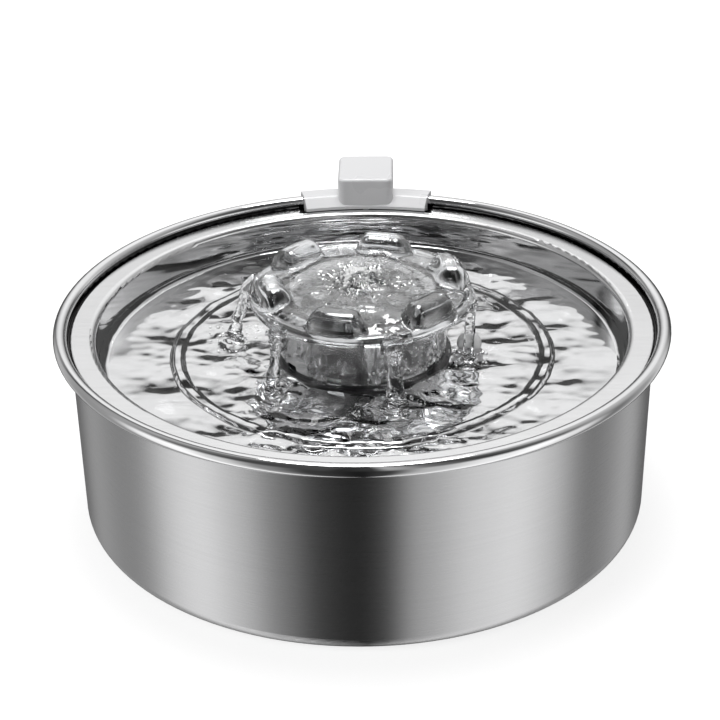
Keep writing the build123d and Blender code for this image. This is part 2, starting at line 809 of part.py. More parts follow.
def lead_radii(points):
    """Bend radius at each corner: as large as its two runs allow."""
    radii = []
    for before, corner, after in zip(points, points[1:], points[2:]):
        first = Vector(*corner) - Vector(*before)
        second = Vector(*after) - Vector(*corner)
        half_turn = math.radians(first.get_angle(second) / 2)
        radii.append(0.45 * min(first.length, second.length) / math.tan(half_turn))
    return radii


for lead_name, route in [("pump_lead", lead_points), ("socket_lead", socket_lead_points)]:
    with BuildPart() as lead:
        with BuildLine() as lead_path:
            FilletPolyline(*route, radius=lead_radii(route))
        first_run = lead_path.edges()[0]
        with BuildSketch(Plane(origin=first_run @ 0, z_dir=first_run % 0)):
            Circle(lead_radius)
        sweep()
    finish(lead, lead_name)
    tube_volume = math.pi * lead_radius**2 * sum(edge.length for edge in lead_path.edges())
    print(lead_name, "bends", [round(r, 1) for r in lead_radii(route)])
    print(lead_name, "volume over section and length", lead.part.volume / tube_volume)

# ---- saddle ----
saddle_section = [
    (saddle_front_r, saddle_front_z),
    (saddle_front_r, saddle_front_top_z),
    (saddle_crest_r, saddle_top_z),
    (saddle_back_r, saddle_top_z),
    (saddle_back_r, saddle_top_z - saddle_skirt),
    (saddle_skirt_r, saddle_top_z - saddle_skirt),
    (saddle_skirt_r, bead_top_z),
    (saddle_leg_r, bead_top_z),
    (saddle_leg_r, ledge_z),
    (saddle_leg_r - saddle_wall, ledge_z),
    (saddle_leg_r - saddle_wall, saddle_front_z),
]
front_bends = [saddle_round, saddle_round, saddle_front_bend, saddle_back_bend]
saddle_bends = front_bends + [saddle_round] * (len(saddle_section) - len(front_bends))
saddle_half_angle = math.degrees(math.asin(saddle_half_width / rim_radius))
tongue_end = block_back - block_wall - loose_gap
tongue_start = saddle_skirt_r + saddle_rim_gap
tongue_width = block_width - 2 * (block_wall + loose_gap)
tongue_corner = block_corner - block_wall
screw_y = (saddle_back_r + tongue_end) / 2
lead_bore_radius = lead_radius + loose_gap

with BuildPart() as rim_saddle:
    with BuildSketch(radial_plane(90 - saddle_half_angle)):
        with BuildLine():
            FilletPolyline(*saddle_section, radius=saddle_bends, close=True)
        make_face()
    revolve(axis=Axis.Z, revolution_arc=2 * saddle_half_angle)
    with BuildSketch(Plane.XY.offset(block_bottom_z)):
        with Locations((0, (tongue_start + tongue_end) / 2)):
            RectangleRounded(tongue_width, tongue_end - tongue_start, tongue_corner)
        with Locations((0, (tongue_start + screw_y) / 2)):
            Rectangle(tongue_width, screw_y - tongue_start)
    extrude(amount=tongue_thickness)
    with BuildSketch(Plane.XY.offset(block_bottom_z)):
        with Locations((0, screw_y)):
            with GridLocations(screw_spacing, 1, 2, 1):
                Circle(screw_radius + loose_gap)
    extrude(amount=tongue_thickness, mode=Mode.SUBTRACT)
    with BuildSketch(Plane.XY.offset(ledge_z)):
        with Locations((0, lead_y)):
            Circle(lead_bore_radius)
    extrude(amount=2 * neck_height, mode=Mode.SUBTRACT)
finish(rim_saddle, "rim_saddle")

# ---- block on the saddle ----
slope = (saddle_top_z - saddle_front_top_z) / (saddle_crest_r - saddle_front_r)
overrun = 2.0                 # past the saddle's front edge
socket_z = (tongue_top_z + inner_top_z) / 2
saddle_space = [
    (saddle_front_r - overrun, block_bottom_z - neck_height),
    (saddle_front_r - overrun, saddle_front_top_z - overrun * slope + seat_gap),
    (saddle_crest_r, saddle_top_z + seat_gap),
    (saddle_back_r + loose_gap, saddle_top_z + seat_gap),
    (saddle_back_r + loose_gap, block_bottom_z - neck_height),
]

with BuildPart() as cord_block_shell:
    with BuildSketch(Plane.XY.offset(block_bottom_z)):
        with Locations((0, block_front + block_length / 2)):
            RectangleRounded(block_width, block_length, block_corner)
    extrude(amount=block_height)
    fillet(cord_block_shell.faces().sort_by(Axis.Z)[-1].edges(), radius=block_edge)
    with BuildSketch(Plane.XY.offset(block_bottom_z)):
        with Locations((0, block_front + block_length / 2)):
            RectangleRounded(
                block_width - 2 * block_wall, block_length - 2 * block_wall, block_corner - block_wall
            )
    extrude(amount=block_height - block_wall, mode=Mode.SUBTRACT)
    with BuildSketch(Plane.XY.offset(tongue_top_z)):
        with Locations((0, screw_y)):
            with GridLocations(screw_spacing, 1, 2, 1):
                Circle(boss_radius)
    extrude(until=Until.NEXT)
    with BuildSketch(Plane.XY.offset(block_bottom_z)):
        with Locations((0, screw_y)):
            with GridLocations(screw_spacing, 1, 2, 1):
                Circle(screw_radius + running_gap)
    extrude(amount=block_height - 2 * block_wall, mode=Mode.SUBTRACT)
    with BuildSketch(Plane.XZ):
        with BuildLine():
            FilletPolyline(*saddle_space, radius=[0, 0, saddle_front_bend, saddle_back_bend, 0], close=True)
        make_face()
    revolve(axis=Axis.Z, mode=Mode.SUBTRACT)
    with BuildSketch(rod_plane(block_back - block_wall, z=socket_z)):
        Circle(socket_bore_radius + socket_barrel + seat_gap)
    extrude(amount=block_wall, mode=Mode.SUBTRACT)
finish(cord_block_shell, "cord_block_shell")

with BuildPart() as block_screws:
    with BuildSketch(Plane.XY.offset(block_bottom_z)):
        with Locations((0, screw_y)):
            with GridLocations(screw_spacing, 1, 2, 1):
                Circle(screw_head_radius)
    extrude(amount=-screw_head_height)
    with BuildSketch(Plane.XY.offset(block_bottom_z)):
        with Locations((0, screw_y)):
            with GridLocations(screw_spacing, 1, 2, 1):
                Circle(screw_radius)
    extrude(amount=block_height - 2 * block_wall - screw_tip_gap)
finish(block_screws, "block_screws")

# ---- socket and its board inside the block ----
socket_front_y = socket_board_y + board_thickness
socket_body_back_y = block_back - block_wall - seat_gap
socket_room = inner_top_z - tongue_top_z - 2 * loose_gap

with BuildPart() as socket_board:
    with BuildSketch(rod_plane(socket_board_y, z=socket_z)):
        Rectangle(block_width - 2 * (block_wall + loose_gap), socket_room)
    extrude(amount=board_thickness)
finish(socket_board, "socket_board")

with BuildPart() as dc_socket:
    with BuildSketch(rod_plane(socket_front_y, z=socket_z)):
        Rectangle(socket_width, socket_room)
    extrude(amount=socket_body_back_y - socket_front_y)
    with BuildSketch(rod_plane(socket_body_back_y, z=socket_z)):
        Circle(socket_bore_radius + socket_barrel)
    extrude(amount=block_wall)
    with BuildSketch(rod_plane(block_back - seat_gap - socket_bore_depth, z=socket_z)):
        Circle(socket_bore_radius)
        Circle(socket_pin_radius, mode=Mode.SUBTRACT)
    extrude(amount=socket_bore_depth, mode=Mode.SUBTRACT)
finish(dc_socket, "dc_socket")
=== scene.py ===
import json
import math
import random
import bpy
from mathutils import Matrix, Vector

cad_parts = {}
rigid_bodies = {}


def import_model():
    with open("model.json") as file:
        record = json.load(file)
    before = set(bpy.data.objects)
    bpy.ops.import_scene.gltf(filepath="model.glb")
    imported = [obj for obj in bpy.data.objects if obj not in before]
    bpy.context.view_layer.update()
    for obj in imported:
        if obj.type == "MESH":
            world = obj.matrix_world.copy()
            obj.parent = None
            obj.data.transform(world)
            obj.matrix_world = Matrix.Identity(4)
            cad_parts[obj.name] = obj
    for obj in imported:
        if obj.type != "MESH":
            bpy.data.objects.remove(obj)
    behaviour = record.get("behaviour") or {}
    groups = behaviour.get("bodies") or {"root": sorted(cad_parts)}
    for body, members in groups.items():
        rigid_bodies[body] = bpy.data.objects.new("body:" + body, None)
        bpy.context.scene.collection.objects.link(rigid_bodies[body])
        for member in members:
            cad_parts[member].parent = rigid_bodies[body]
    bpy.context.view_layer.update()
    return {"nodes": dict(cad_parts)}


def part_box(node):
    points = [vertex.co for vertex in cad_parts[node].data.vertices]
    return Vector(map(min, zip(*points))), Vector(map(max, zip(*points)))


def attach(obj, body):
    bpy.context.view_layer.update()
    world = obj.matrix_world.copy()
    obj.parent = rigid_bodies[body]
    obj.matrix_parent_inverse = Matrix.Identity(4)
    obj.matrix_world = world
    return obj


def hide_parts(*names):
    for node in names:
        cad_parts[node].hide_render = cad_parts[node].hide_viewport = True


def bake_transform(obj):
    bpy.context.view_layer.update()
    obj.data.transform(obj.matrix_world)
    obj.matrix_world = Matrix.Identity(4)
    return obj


bl_info = {
    "name": "Pet Water Fountain",
    "version": (1, 0, 0),
    "blender": (4, 5, 0),
    "location": "View3D > Sidebar > Fountain",
    "description": "Dresses the packed pet water fountain: steel, clear cap, running water, filter and pump",
    "category": "Object",
}

import bmesh
import bpy
import numpy as np
from bpy.props import FloatProperty, FloatVectorProperty, PointerProperty
from mathutils import Quaternion, Vector, noise

for startup_object in list(bpy.data.objects):
    bpy.data.objects.remove(startup_object)
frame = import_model()

MM = 0.001
PETALS = 6
PETAL_STEP = math.tau / PETALS
PICTURE_PIXELS = 720
PUMP_AXIS_Z = sum(corner.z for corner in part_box("stator_core")) / 2
# Painted shade: inward of this radius and below this height, the bowl's steel is painted near black, where
# shade falls in the groove
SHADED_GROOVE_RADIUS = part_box("bowl")[1].x - 3.6 * MM    # the groove between the bead and the tray's flange
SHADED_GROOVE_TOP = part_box("bowl")[1].z - 2.6 * MM
MEDIA_BORE = 11.95            # radius of the opening in the filter's media, in mm
GRAINS = 1500                 # of carbon, over the core of its bed
WATER_ON_CAP = 4.6            # depth of the water between the petals, in mm
MOUND_HEIGHT = 5.0            # of the water that wells up over the nozzle, in mm
MOUND_RADIUS = 8.5            # where that water has fallen to about a third of its height, in mm

# One stream for each gap between petals: where it lands from the middle in mm, how far it leans to the
# left in degrees, and its thickness against the others
STREAMS = [
    (60.0, 0.0, 0.9), (58.0, 0.0, 0.9), (65.8, 3.0, 1.15),
    (60.4, 0.0, 1.15), (61.4, 0.0, 1.5), (53.5, 0.0, 1.1),
]
BUBBLE_PLACE = (53.0, 2.7)    # from the middle in mm, and direction in degrees

# The lead's way from the pump up to the block on the rim, in mm
LEAD_ROUTE = [
    (0, 37.55, 38), (0, 60, 38), (6, 79, 29), (11, 97, 14), (8, 116, 13), (3, 130, 25), (0, 137.2, 43),
    (0, 139.0, 73), (0, 139.0, 103),
]

# What metal and water reflect, by the direction from the front in degrees, towards +X: grey of the
# screens below the horizon and above it, and the height (1 is overhead) over which one becomes the other
LOW_SCREENS = [
    (-180, 0.03), (-150, 0.08), (-134, 0.38), (-110, 0.24), (-98, 0.26), (-76, 0.84), (-66, 0.92),
    (-50, 0.58), (-33, 0.2), (-17, 0.035), (0, 0.01), (9, 0.035), (24, 0.42), (48, 0.76), (64, 0.92),
    (78, 0.68), (98, 0.15), (114, 0.26), (130, 0.5), (148, 0.06), (180, 0.03),
]
HIGH_SCREENS = [
    (-180, 0.76), (-152, 0.74), (-142, 0.2), (-134, 0.02), (-126, 0.24), (-100, 0.3), (-70, 0.12),
    (-45, 0.05), (-14, 0.05), (-7, 0.02), (4, 0.03), (11, 0.3), (30, 0.1), (50, 0.04), (75, 0.09),
    (100, 0.3), (125, 0.4), (150, 0.7), (180, 0.76),
]
SCREEN_EDGE = (0.10, 0.48)
OVERHEAD_EDGE = (0.58, 0.74)


# ---------------------------------------------------------------- sizes and colours


def number(name, description, value, **more):
    """A number, or what more makes of it."""
    return FloatProperty(name=name, description=description, default=value, **more)


def length(name, description, millimetres):
    """A length that shows in the user's units."""
    return number(name, description, millimetres * MM, unit="LENGTH", precision=5)


def angle(name, description, degrees):
    """An angle that shows in degrees."""
    return number(name, description, math.radians(degrees), subtype="ANGLE")


def colour(name, description, value):
    """A colour without alpha."""
    return FloatVectorProperty(
        name=name, description=description, default=value, subtype="COLOR", size=3, min=0.0, max=1.0
    )


class FountainSizes(bpy.types.PropertyGroup):
    """Sizes of the pieces that are made here. What the frame gives is read from it."""

    cap_radius: length("Cap radius", "To the outside of the cap's rim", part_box("fountain_cap")[1].x / MM)
    cap_plate: length("Cap plate", "Height of the cap's underside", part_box("pedestal")[1].z / MM)
    cap_wall: length("Cap wall", "Thickness of the cap's plate", 2.2)
    cap_rim: length("Cap rim", "Radius of the round rim of the cap", 2.4)
    nozzle_bore: length("Nozzle bore", "Radius of the cap's middle opening", 4.0)
    nozzle_radius: length("Nozzle radius", "To the outside of the nozzle's wall", 6.0)
    nozzle_height: length("Nozzle height", "Of the nozzle above the plate", 2.8)
    boss_bore: length("Boss bore", "Radius of the socket under the cap that takes the riser", 6.85)
    boss_foot: length("Boss foot", "Height of the lower end of that socket", 101.0)
    spigot_radius: length("Spigot radius", "Of the ring under the cap that fits the pedestal", 36.7)
    spigot_height: length("Spigot height", "Of that ring, below the plate", 4.0)
    under_wall: length("Wall below the cap", "Thickness of the spigot and the socket", 1.4)
    petal_rise: length("Petal rise", "Crest of a petal above the plate", 11.2)
    petal_pitch: length("Petal pitch", "Radius of the circle that the petals stand on", 44.5)
    petal_width: length("Petal width", "Half width of a petal along the rim", 14.4)
    petal_depth: length("Petal depth", "Half depth of a petal across the rim", 8.8)
    petal_corner: length("Petal corner", "Corner of a petal as seen from above", 7.5)
    petal_shoulder: length("Petal shoulder", "How far in from its side a petal reaches its full height", 7.6)
    petal_phase: angle("Petal phase", "Direction of the first petal", 16.0)
    water_level: length("Water level", "Height of the pool's surface above the base", 81.5)
    ripple: length("Ripple", "Height of the pool's longest waves", 2.2)
    film: length("Film", "Thickness of the water that runs over the petals", 0.25)
    tray_foot: length("Tray foot", "Radius of the tray's wall at its floor", 129.2)
    tray_corner: length("Tray corner", "Bend between the tray's wall and its floor", 4.5)
    rib_radius: length("Rib radius", "Of the ring rib in the tray's floor", 91.0)
    rib_width: length("Rib width", "Of the rib at its foot", 7.2)
    rib_height: length("Rib height", "Of the rib above the floor", 2.4)
    stream_radius: length("Stream radius", "Of a falling stream at its neck", 2.3)
    bubble_radius: length("Bubble radius", "Of the bubble that floats by the pedestal", 6.2)
    lead_radius: length("Lead radius", "Of the pump's lead", 1.6)


class FountainColours(bpy.types.PropertyGroup):
    """Colours of the finishes."""

    steel: colour("Steel", "Bare stainless steel", (0.60, 0.60, 0.605))
    polished: colour("Polished steel", "Mirror polished stainless steel", (0.82, 0.82, 0.825))
    rim_plastic: colour("Rim plastic", "Plate and block on the rim", (0.69, 0.69, 0.70))
    filter_plastic: colour("Filter plastic", "Filter box and its lid", (0.86, 0.86, 0.86))
    ring_plastic: colour("Ring plastic", "Ring that carries the filter box", (0.05, 0.05, 0.053))
    pump_plastic: colour("Pump plastic", "Housing and covers of the pump", (0.88, 0.88, 0.88))
    rotor_plastic: colour("Rotor plastic", "Impeller and flow regulator", (0.80, 0.81, 0.82))
    silicone: colour("Silicone", "Suction feet and seal", (0.75, 0.76, 0.77))
    rubber: colour("Rubber", "Bushes and grommet", (0.05, 0.05, 0.05))
    sheath: colour("Lead sheath", "Sheath of the leads", (0.82, 0.82, 0.82))
    copper: colour("Copper", "Enamelled windings", (0.72, 0.38, 0.20))
    board: colour("Board", "Solder mask of the circuit boards", (0.08, 0.28, 0.16))
    cotton: colour("Cotton", "Felt pad of the filter", (0.93, 0.93, 0.91))
    carbon: colour("Carbon", "Granules of the filter", (0.035, 0.035, 0.038))
    foam: colour("Foam", "Sponge of the filter", (0.12, 0.13, 0.15))


class FountainStudio(bpy.types.PropertyGroup):
    """Camera and light."""

    distance: length("Camera distance", "From the middle of the rim to the camera", 900.0)
    elevation: angle("Camera elevation", "Of the camera above the rim", 26.2)
    azimuth: angle("Camera azimuth", "Of the camera from the front towards +X", 1.3)
    lens: number("Lens", "Focal length in millimetres for a sensor 36 mm wide", 91.95)
    roll: angle("Roll", "Turn of the picture about its middle", -0.85)
    rim_up: number("Rim up", "Pixels from the picture's middle up to the middle of the rim", 51.0)
    rim_right: number("Rim right", "Pixels from the picture's middle to the right, to the rim's middle", 2.4)
    screens: number("Screens", "Strength of the studio that metal and water reflect", 1.35)
    overhead: number("Overhead", "Share of that strength high overhead", 1.1)
    fill: number("Fill", "Strength of the plain light from all round", 0.55)


# ---------------------------------------------------------------- helpers for nodes


def node(tree, kind, inputs=None, **settings):
    """Adds a node. An input is given a value, or the socket that feeds it."""
    made = tree.nodes.new(kind)
    for key, value in settings.items():
        setattr(made, key, value)
    for key, value in (inputs or {}).items():
        if isinstance(value, bpy.types.NodeSocket):
            tree.links.new(value, made.inputs[key])
        else:
            made.inputs[key].default_value = value
    return made


def math_node(tree, operation, *values):
    """Result of one sum on values or sockets."""
    return node(tree, "ShaderNodeMath", dict(enumerate(values)), operation=operation).outputs[0]


def geometry_tree(name, inputs):
    """A Geometry Nodes tree with its entry node; inputs is a list of (name, socket type, value)."""
    tree = bpy.data.node_groups.new(name, "GeometryNodeTree")
    tree.is_modifier = True
    tree.interface.new_socket("Geometry", in_out="INPUT", socket_type="NodeSocketGeometry")
    for key, kind, value in inputs:
        socket = tree.interface.new_socket(key, in_out="INPUT", socket_type=kind)
        if value is not None:
            socket.default_value = value
    tree.interface.new_socket("Geometry", in_out="OUTPUT", socket_type="NodeSocketGeometry")
    return tree, node(tree, "NodeGroupInput").outputs


def close_tree(tree, geometry, material):
    """Ends a tree with real geometry, smooth faces and its material."""
    real = node(tree, "GeometryNodeRealizeInstances", {0: geometry}).outputs[0]
    smooth = node(tree, "GeometryNodeSetShadeSmooth", {0: real}).outputs[0]
    painted = node(tree, "GeometryNodeSetMaterial", {"Geometry": smooth, "Material": material}).outputs[0]
    node(tree, "NodeGroupOutput", {0: painted})


def mapped(tree, value, low, high, new_low, new_high):
    """Value carried from one range to another, and held at its ends."""
    inputs = {"Value": value, "From Min": low, "From Max": high, "To Min": new_low, "To Max": new_high}
    return node(tree, "ShaderNodeMapRange", inputs).outputs["Result"]


def blended(tree, share, first, second):
    """Colour between two colours."""
    mix = node(tree, "ShaderNodeMix", data_type="RGBA")
    for key, value in ((0, share), (6, first), (7, second)):
        if isinstance(value, bpy.types.NodeSocket):
            tree.links.new(value, mix.inputs[key])
        else:
            mix.inputs[key].default_value = value if key == 0 else (*value[:3], 1.0)
    return mix.outputs[2]


def place_node(tree):
    """Where the surface lies, in its object's coordinates."""
    return node(tree, "ShaderNodeTexCoord").outputs["Object"]


def noise_node(tree, where, scale, detail, **more):
    """Outputs of a noise: grey, then coloured."""
    inputs = {"Vector": where, "Scale": scale, "Detail": detail, **more}
    return node(tree, "ShaderNodeTexNoise", inputs).outputs


def distance_node(tree, first, second):
    """Distance from an axis, out of the two distances across it."""
    squares = [math_node(tree, "POWER", side, 2.0) for side in (first, second)]
    return math_node(tree, "SQRT", math_node(tree, "ADD", *squares))


def turned_grain(tree, entry):
    """Fine lines round the Z axis, as a turning brush leaves them."""
    x, y, z = node(tree, "ShaderNodeSeparateXYZ", {0: place_node(tree)}).outputs
    radius = distance_node(tree, x, y)
    side = math_node(tree, "ABSOLUTE", math_node(tree, "ARCTAN2", y, x))
    rings = math_node(tree, "MULTIPLY", math_node(tree, "ADD", radius, z), entry["Lines"])
    across = math_node(tree, "MULTIPLY", math_node(tree, "SUBTRACT", radius, z), entry["Lines"])
    along = math_node(tree, "MULTIPLY", side, entry["Stretch"])
    where = node(tree, "ShaderNodeCombineXYZ", {0: rings, 1: across, 2: along}).outputs[0]
    return noise_node(tree, where, 1.0, 3.0, Roughness=0.7)[0], noise_node(tree, where, 0.12, 2.0)[0]


def moulded_skin(tree, entry):
    """Spark-eroded skin of a moulded piece, and slow changes of its gloss."""
    place = place_node(tree)
    slow_scale = math_node(tree, "MULTIPLY", entry["Scale"], 0.02)
    return noise_node(tree, place, entry["Scale"], 4.0)[0], noise_node(tree, place, slow_scale, 2.0)[0]


def wiped_marks(tree, entry):
    """Faint cloth marks and dried film on a polished surface."""
    place = place_node(tree)
    squeezed = node(tree, "ShaderNodeMapping", {"Vector": place, "Scale": (1.0, 9.0, 3.0)}).outputs[0]
    streak_scale = math_node(tree, "MULTIPLY", entry["Scale"], 3.0)
    cloud = noise_node(tree, place, entry["Scale"], 5.0, Distortion=1.4)[0]
    streak = noise_node(tree, squeezed, streak_scale, 3.0)[0]
    return (mapped(tree, math_node(tree, "MULTIPLY", cloud, streak), 0.16, 0.42, 0.0, 1.0),)


# What each shared effect takes, and what it gives
EFFECTS = {
    turned_grain: ({"Lines": 9000.0, "Stretch": 6.0}, ["Height", "Variation"]),
    moulded_skin: ({"Scale": 900.0}, ["Height", "Variation"]),
    wiped_marks: ({"Scale": 18.0}, ["Mask"]),
}


def shader_group(effect):
    """Node group of a shared effect: built once, then placed in each material with its own values."""
    tree = bpy.data.node_groups.get(effect.__name__)
    if tree:
        return tree
    tree = bpy.data.node_groups.new(effect.__name__, "ShaderNodeTree")
    inputs, outputs = EFFECTS[effect]
    for key, value in inputs.items():
        tree.interface.new_socket(key, in_out="INPUT", socket_type="NodeSocketFloat").default_value = value
    for key in outputs:
        tree.interface.new_socket(key, in_out="OUTPUT", socket_type="NodeSocketFloat")
    found = effect(tree, node(tree, "NodeGroupInput").outputs)
    node(tree, "NodeGroupOutput", dict(zip(outputs, found)))
    return tree


class Finish:
    """A material with one Principled shader, which the finishes below fill in."""

    def __init__(self, name):
        self.material = bpy.data.materials.new(name)
        self.material.use_nodes = True
        self.tree = self.material.node_tree
        self.tree.nodes.clear()
        self.shader = node(self.tree, "ShaderNodeBsdfPrincipled")
        node(self.tree, "ShaderNodeOutputMaterial", {"Surface": self.shader.outputs[0]})

    def set(self, **values):
        """Sets or feeds the shader's sockets, named in small letters."""
        for key, value in values.items():
            socket = self.shader.inputs[key.replace("_", " ").title().replace("Ior", "IOR")]
            if isinstance(value, bpy.types.NodeSocket):
                self.tree.links.new(value, socket)
            else:
                socket.default_value = value

    def group(self, effect, **values):
        """Places a shared effect, with its inputs named in small letters."""
        made = node(self.tree, "ShaderNodeGroup", node_tree=shader_group(effect))
        for key, value in values.items():
            made.inputs[key.title()].default_value = value
        return made.outputs

    def place(self, axis):
        """A coordinate of the surface: 0, 1 or 2 for X, Y or Z, in metres."""
        return node(self.tree, "ShaderNodeSeparateXYZ", {0: place_node(self.tree)}).outputs[axis]

    def done(self, tone, gloss, height, depth, **values):
        """The material, with its colour, roughness and relief; the relief's depth is in millimetres."""
        inputs = {"Height": height, "Distance": depth * MM, "Strength": 1.0}
        relief = node(self.tree, "ShaderNodeBump", inputs).outputs[0]
        self.set(base_color=tone, roughness=gloss, normal=relief, **values)
        return self.material


# ---------------------------------------------------------------- finishes


def lighter(tint, factor):
    """A tint made lighter or darker, up to white."""
    return [min(share * factor, 1.0) for share in tint]


def brushed_steel(name, tint, roughness=0.29, lines=9000.0, depth=0.003, polished_above=None):
    """Steel brushed round the Z axis, with highlights that run across the lines, polished above a height, and
    with painted shade in the groove inside the bead.
    """
    finish = Finish(name)
    tree = finish.tree
    grain = finish.group(turned_grain, lines=lines, stretch=5.0)
    height = grain["Height"]
    tone = blended(tree, grain["Variation"], lighter(tint, 0.95), lighter(tint, 1.04))
    gloss = mapped(tree, height, 0.3, 0.7, roughness - 0.03, roughness + 0.03)
    if polished_above is not None:
        share = mapped(tree, finish.place(2), polished_above - 1.5 * MM, polished_above, 0.0, 1.0)
        brushed = math_node(tree, "SUBTRACT", 1.0, share)
        height = math_node(tree, "MULTIPLY", height, brushed)
        gloss = math_node(tree, "MULTIPLY_ADD", gloss, brushed, math_node(tree, "MULTIPLY", share, 0.06))
        tone = blended(tree, share, tone, lighter(tint, 1.35))
        # Painted shade: the polished steel is painted near black in the groove between the bead and the
        # tray's flange, where shade falls
        radius = distance_node(tree, finish.place(0), finish.place(1))
        inside = mapped(tree, radius, SHADED_GROOVE_RADIUS - 0.8 * MM, SHADED_GROOVE_RADIUS, 1.0, 0.0)
        deep = mapped(tree, finish.place(2), SHADED_GROOVE_TOP - 0.9 * MM, SHADED_GROOVE_TOP, 1.0, 0.0)
        groove_shade = math_node(tree, "MULTIPLY", inside, math_node(tree, "MULTIPLY", deep, share))
        tone = blended(tree, groove_shade, tone, (0.02, 0.02, 0.02))
    tangent = node(tree, "ShaderNodeTangent", direction_type="RADIAL", axis="Z").outputs[0]
    finish.set(metallic=1.0, anisotropic=0.8, anisotropic_rotation=0.25, tangent=tangent)
    return finish.done(tone, gloss, height, depth)


def polished_steel(name, tint, satin_above, roughness=0.04, depth=0.0006):
    """Mirror polished steel with faint cloth marks, and satin above a height."""
    finish = Finish(name)
    marks = finish.group(wiped_marks, scale=16.0)["Mask"]
    grain = finish.group(turned_grain, lines=4000.0, stretch=3.0)["Height"]
    tone = blended(finish.tree, marks, tint, lighter(tint, 0.95))
    gloss = mapped(finish.tree, marks, 0.0, 1.0, roughness, roughness + 0.04)
    satin = mapped(finish.tree, finish.place(2), satin_above - 0.8 * MM, satin_above, 0.0, 0.16)
    return finish.done(tone, math_node(finish.tree, "ADD", gloss, satin), grain, depth, metallic=1.0)


def clear_plastic(name, tint=(0.97, 0.98, 0.99), roughness=0.01):
    """Clear moulded plastic."""
    finish = Finish(name)
    skin = finish.group(moulded_skin, scale=60.0)
    tone = blended(finish.tree, skin["Variation"], lighter(tint, 0.985), tint)
    return finish.done(tone, roughness, skin["Height"], 0.015, transmission_weight=1.0, ior=1.49)


def clear_water(name, depth=0.02, transmission=1.0, dimmed=1.0, coat=0.0):
    """Clean water, or froth where it lets less light through. A coat makes it reflect more."""
    finish = Finish(name)
    skin = finish.group(moulded_skin, scale=160.0)
    dark, pale = lighter((0.985, 0.99, 0.995), dimmed), lighter((1.0, 1.0, 1.0), dimmed)
    tone = blended(finish.tree, skin["Variation"], dark, pale)
    finish.set(transmission_weight=transmission, ior=1.333)
    finish.set(coat_weight=coat, coat_ior=1.9, coat_roughness=0.0)
    return finish.done(tone, 0.0, skin["Height"], depth)


def moulded_plastic(name, tint, roughness=0.42, scale=1400.0, depth=0.012, coat=0.0):
    """Opaque moulded plastic with a fine eroded skin."""
    finish = Finish(name)
    skin = finish.group(moulded_skin, scale=scale)
    tone = blended(finish.tree, skin["Variation"], lighter(tint, 0.96), lighter(tint, 1.03))
    gloss = mapped(finish.tree, skin["Variation"], 0.3, 0.7, roughness - 0.05, roughness + 0.05)
    return finish.done(tone, gloss, skin["Height"], depth, coat_weight=coat, coat_roughness=0.15)


def soft_rubber(name, tint, roughness=0.6):
    """Rubber with a dusty bloom on it."""
    finish = Finish(name)
    skin = finish.group(moulded_skin, scale=700.0)["Height"]
    dust = finish.group(wiped_marks, scale=60.0)["Mask"]
    tone = blended(finish.tree, dust, tint, [share * 0.85 + 0.06 for share in tint])
    gloss = mapped(finish.tree, dust, 0.0, 1.0, roughness, min(roughness + 0.2, 1.0))
    return finish.done(tone, gloss, skin, 0.02)


def ground_piece(name, tint, roughness, metallic=0.0):
    """Ground or sintered piece: grey specks and fine scratches."""
    finish = Finish(name)
    specks = finish.group(moulded_skin, scale=2600.0)["Height"]
    scratches = finish.group(wiped_marks, scale=140.0)["Mask"]
    tone = blended(finish.tree, specks, lighter(tint, 0.8), lighter(tint, 1.2))
    gloss = mapped(finish.tree, scratches, 0.0, 1.0, roughness, roughness + 0.15)
    return finish.done(tone, gloss, specks, 0.01, metallic=metallic)


def layered_metal(name, tint, pitch, radial=False, roughness=0.4):
    """Thin layers: sheets stacked along Y, or turns of wire round a pole that points away from the axis."""
    finish = Finish(name)
    tree = finish.tree
    where = finish.place(1)
    if radial:
        up = math_node(tree, "SUBTRACT", finish.place(2), PUMP_AXIS_Z)
        where = distance_node(tree, finish.place(0), up)
    wave = math_node(tree, "SINE", math_node(tree, "MULTIPLY", where, math.tau / (pitch * MM)))
    ridge = mapped(tree, wave, -1.0, 0.4, 0.0, 1.0)
    stain = finish.group(wiped_marks, scale=90.0)["Mask"]
    tone = blended(tree, ridge, lighter(tint, 0.35), tint)
    gloss = mapped(tree, stain, 0.0, 1.0, roughness, roughness + 0.2)
    return finish.done(tone, gloss, ridge, 0.06, metallic=0.9)


def circuit_board(name, tint, chips_behind=None):
    """Solder mask over copper tracks; what stands out behind a place along Y is a dark chip."""
    finish = Finish(name)
    tree = finish.tree
    inputs = {"Vector": place_node(tree), "Scale": 420.0}
    cells = node(tree, "ShaderNodeTexVoronoi", inputs, distance="CHEBYCHEV").outputs["Distance"]
    track = mapped(tree, cells, 0.42, 0.46, 0.0, 1.0)
    tone = blended(tree, track, tint, lighter(tint, 1.7))
    gloss = mapped(tree, track, 0.0, 1.0, 0.32, 0.24)
    if chips_behind is not None:
        chip = math_node(tree, "GREATER_THAN", finish.place(1), chips_behind)
        tone = blended(tree, chip, tone, (0.03, 0.03, 0.032))
        gloss = math_node(tree, "MULTIPLY_ADD", chip, 0.25, gloss)
    return finish.done(tone, gloss, track, 0.03)


def felt(name, tint):
    """Felted cotton fibres."""
    finish = Finish(name)
    fibre = noise_node(finish.tree, place_node(finish.tree), 520.0, 6.0, Distortion=3.0)[0]
    tone = blended(finish.tree, fibre, lighter(tint, 0.86), lighter(tint, 1.05))
    gloss = mapped(finish.tree, fibre, 0.3, 0.7, 0.85, 1.0)
    return finish.done(tone, gloss, fibre, 0.25, sheen_weight=0.4)


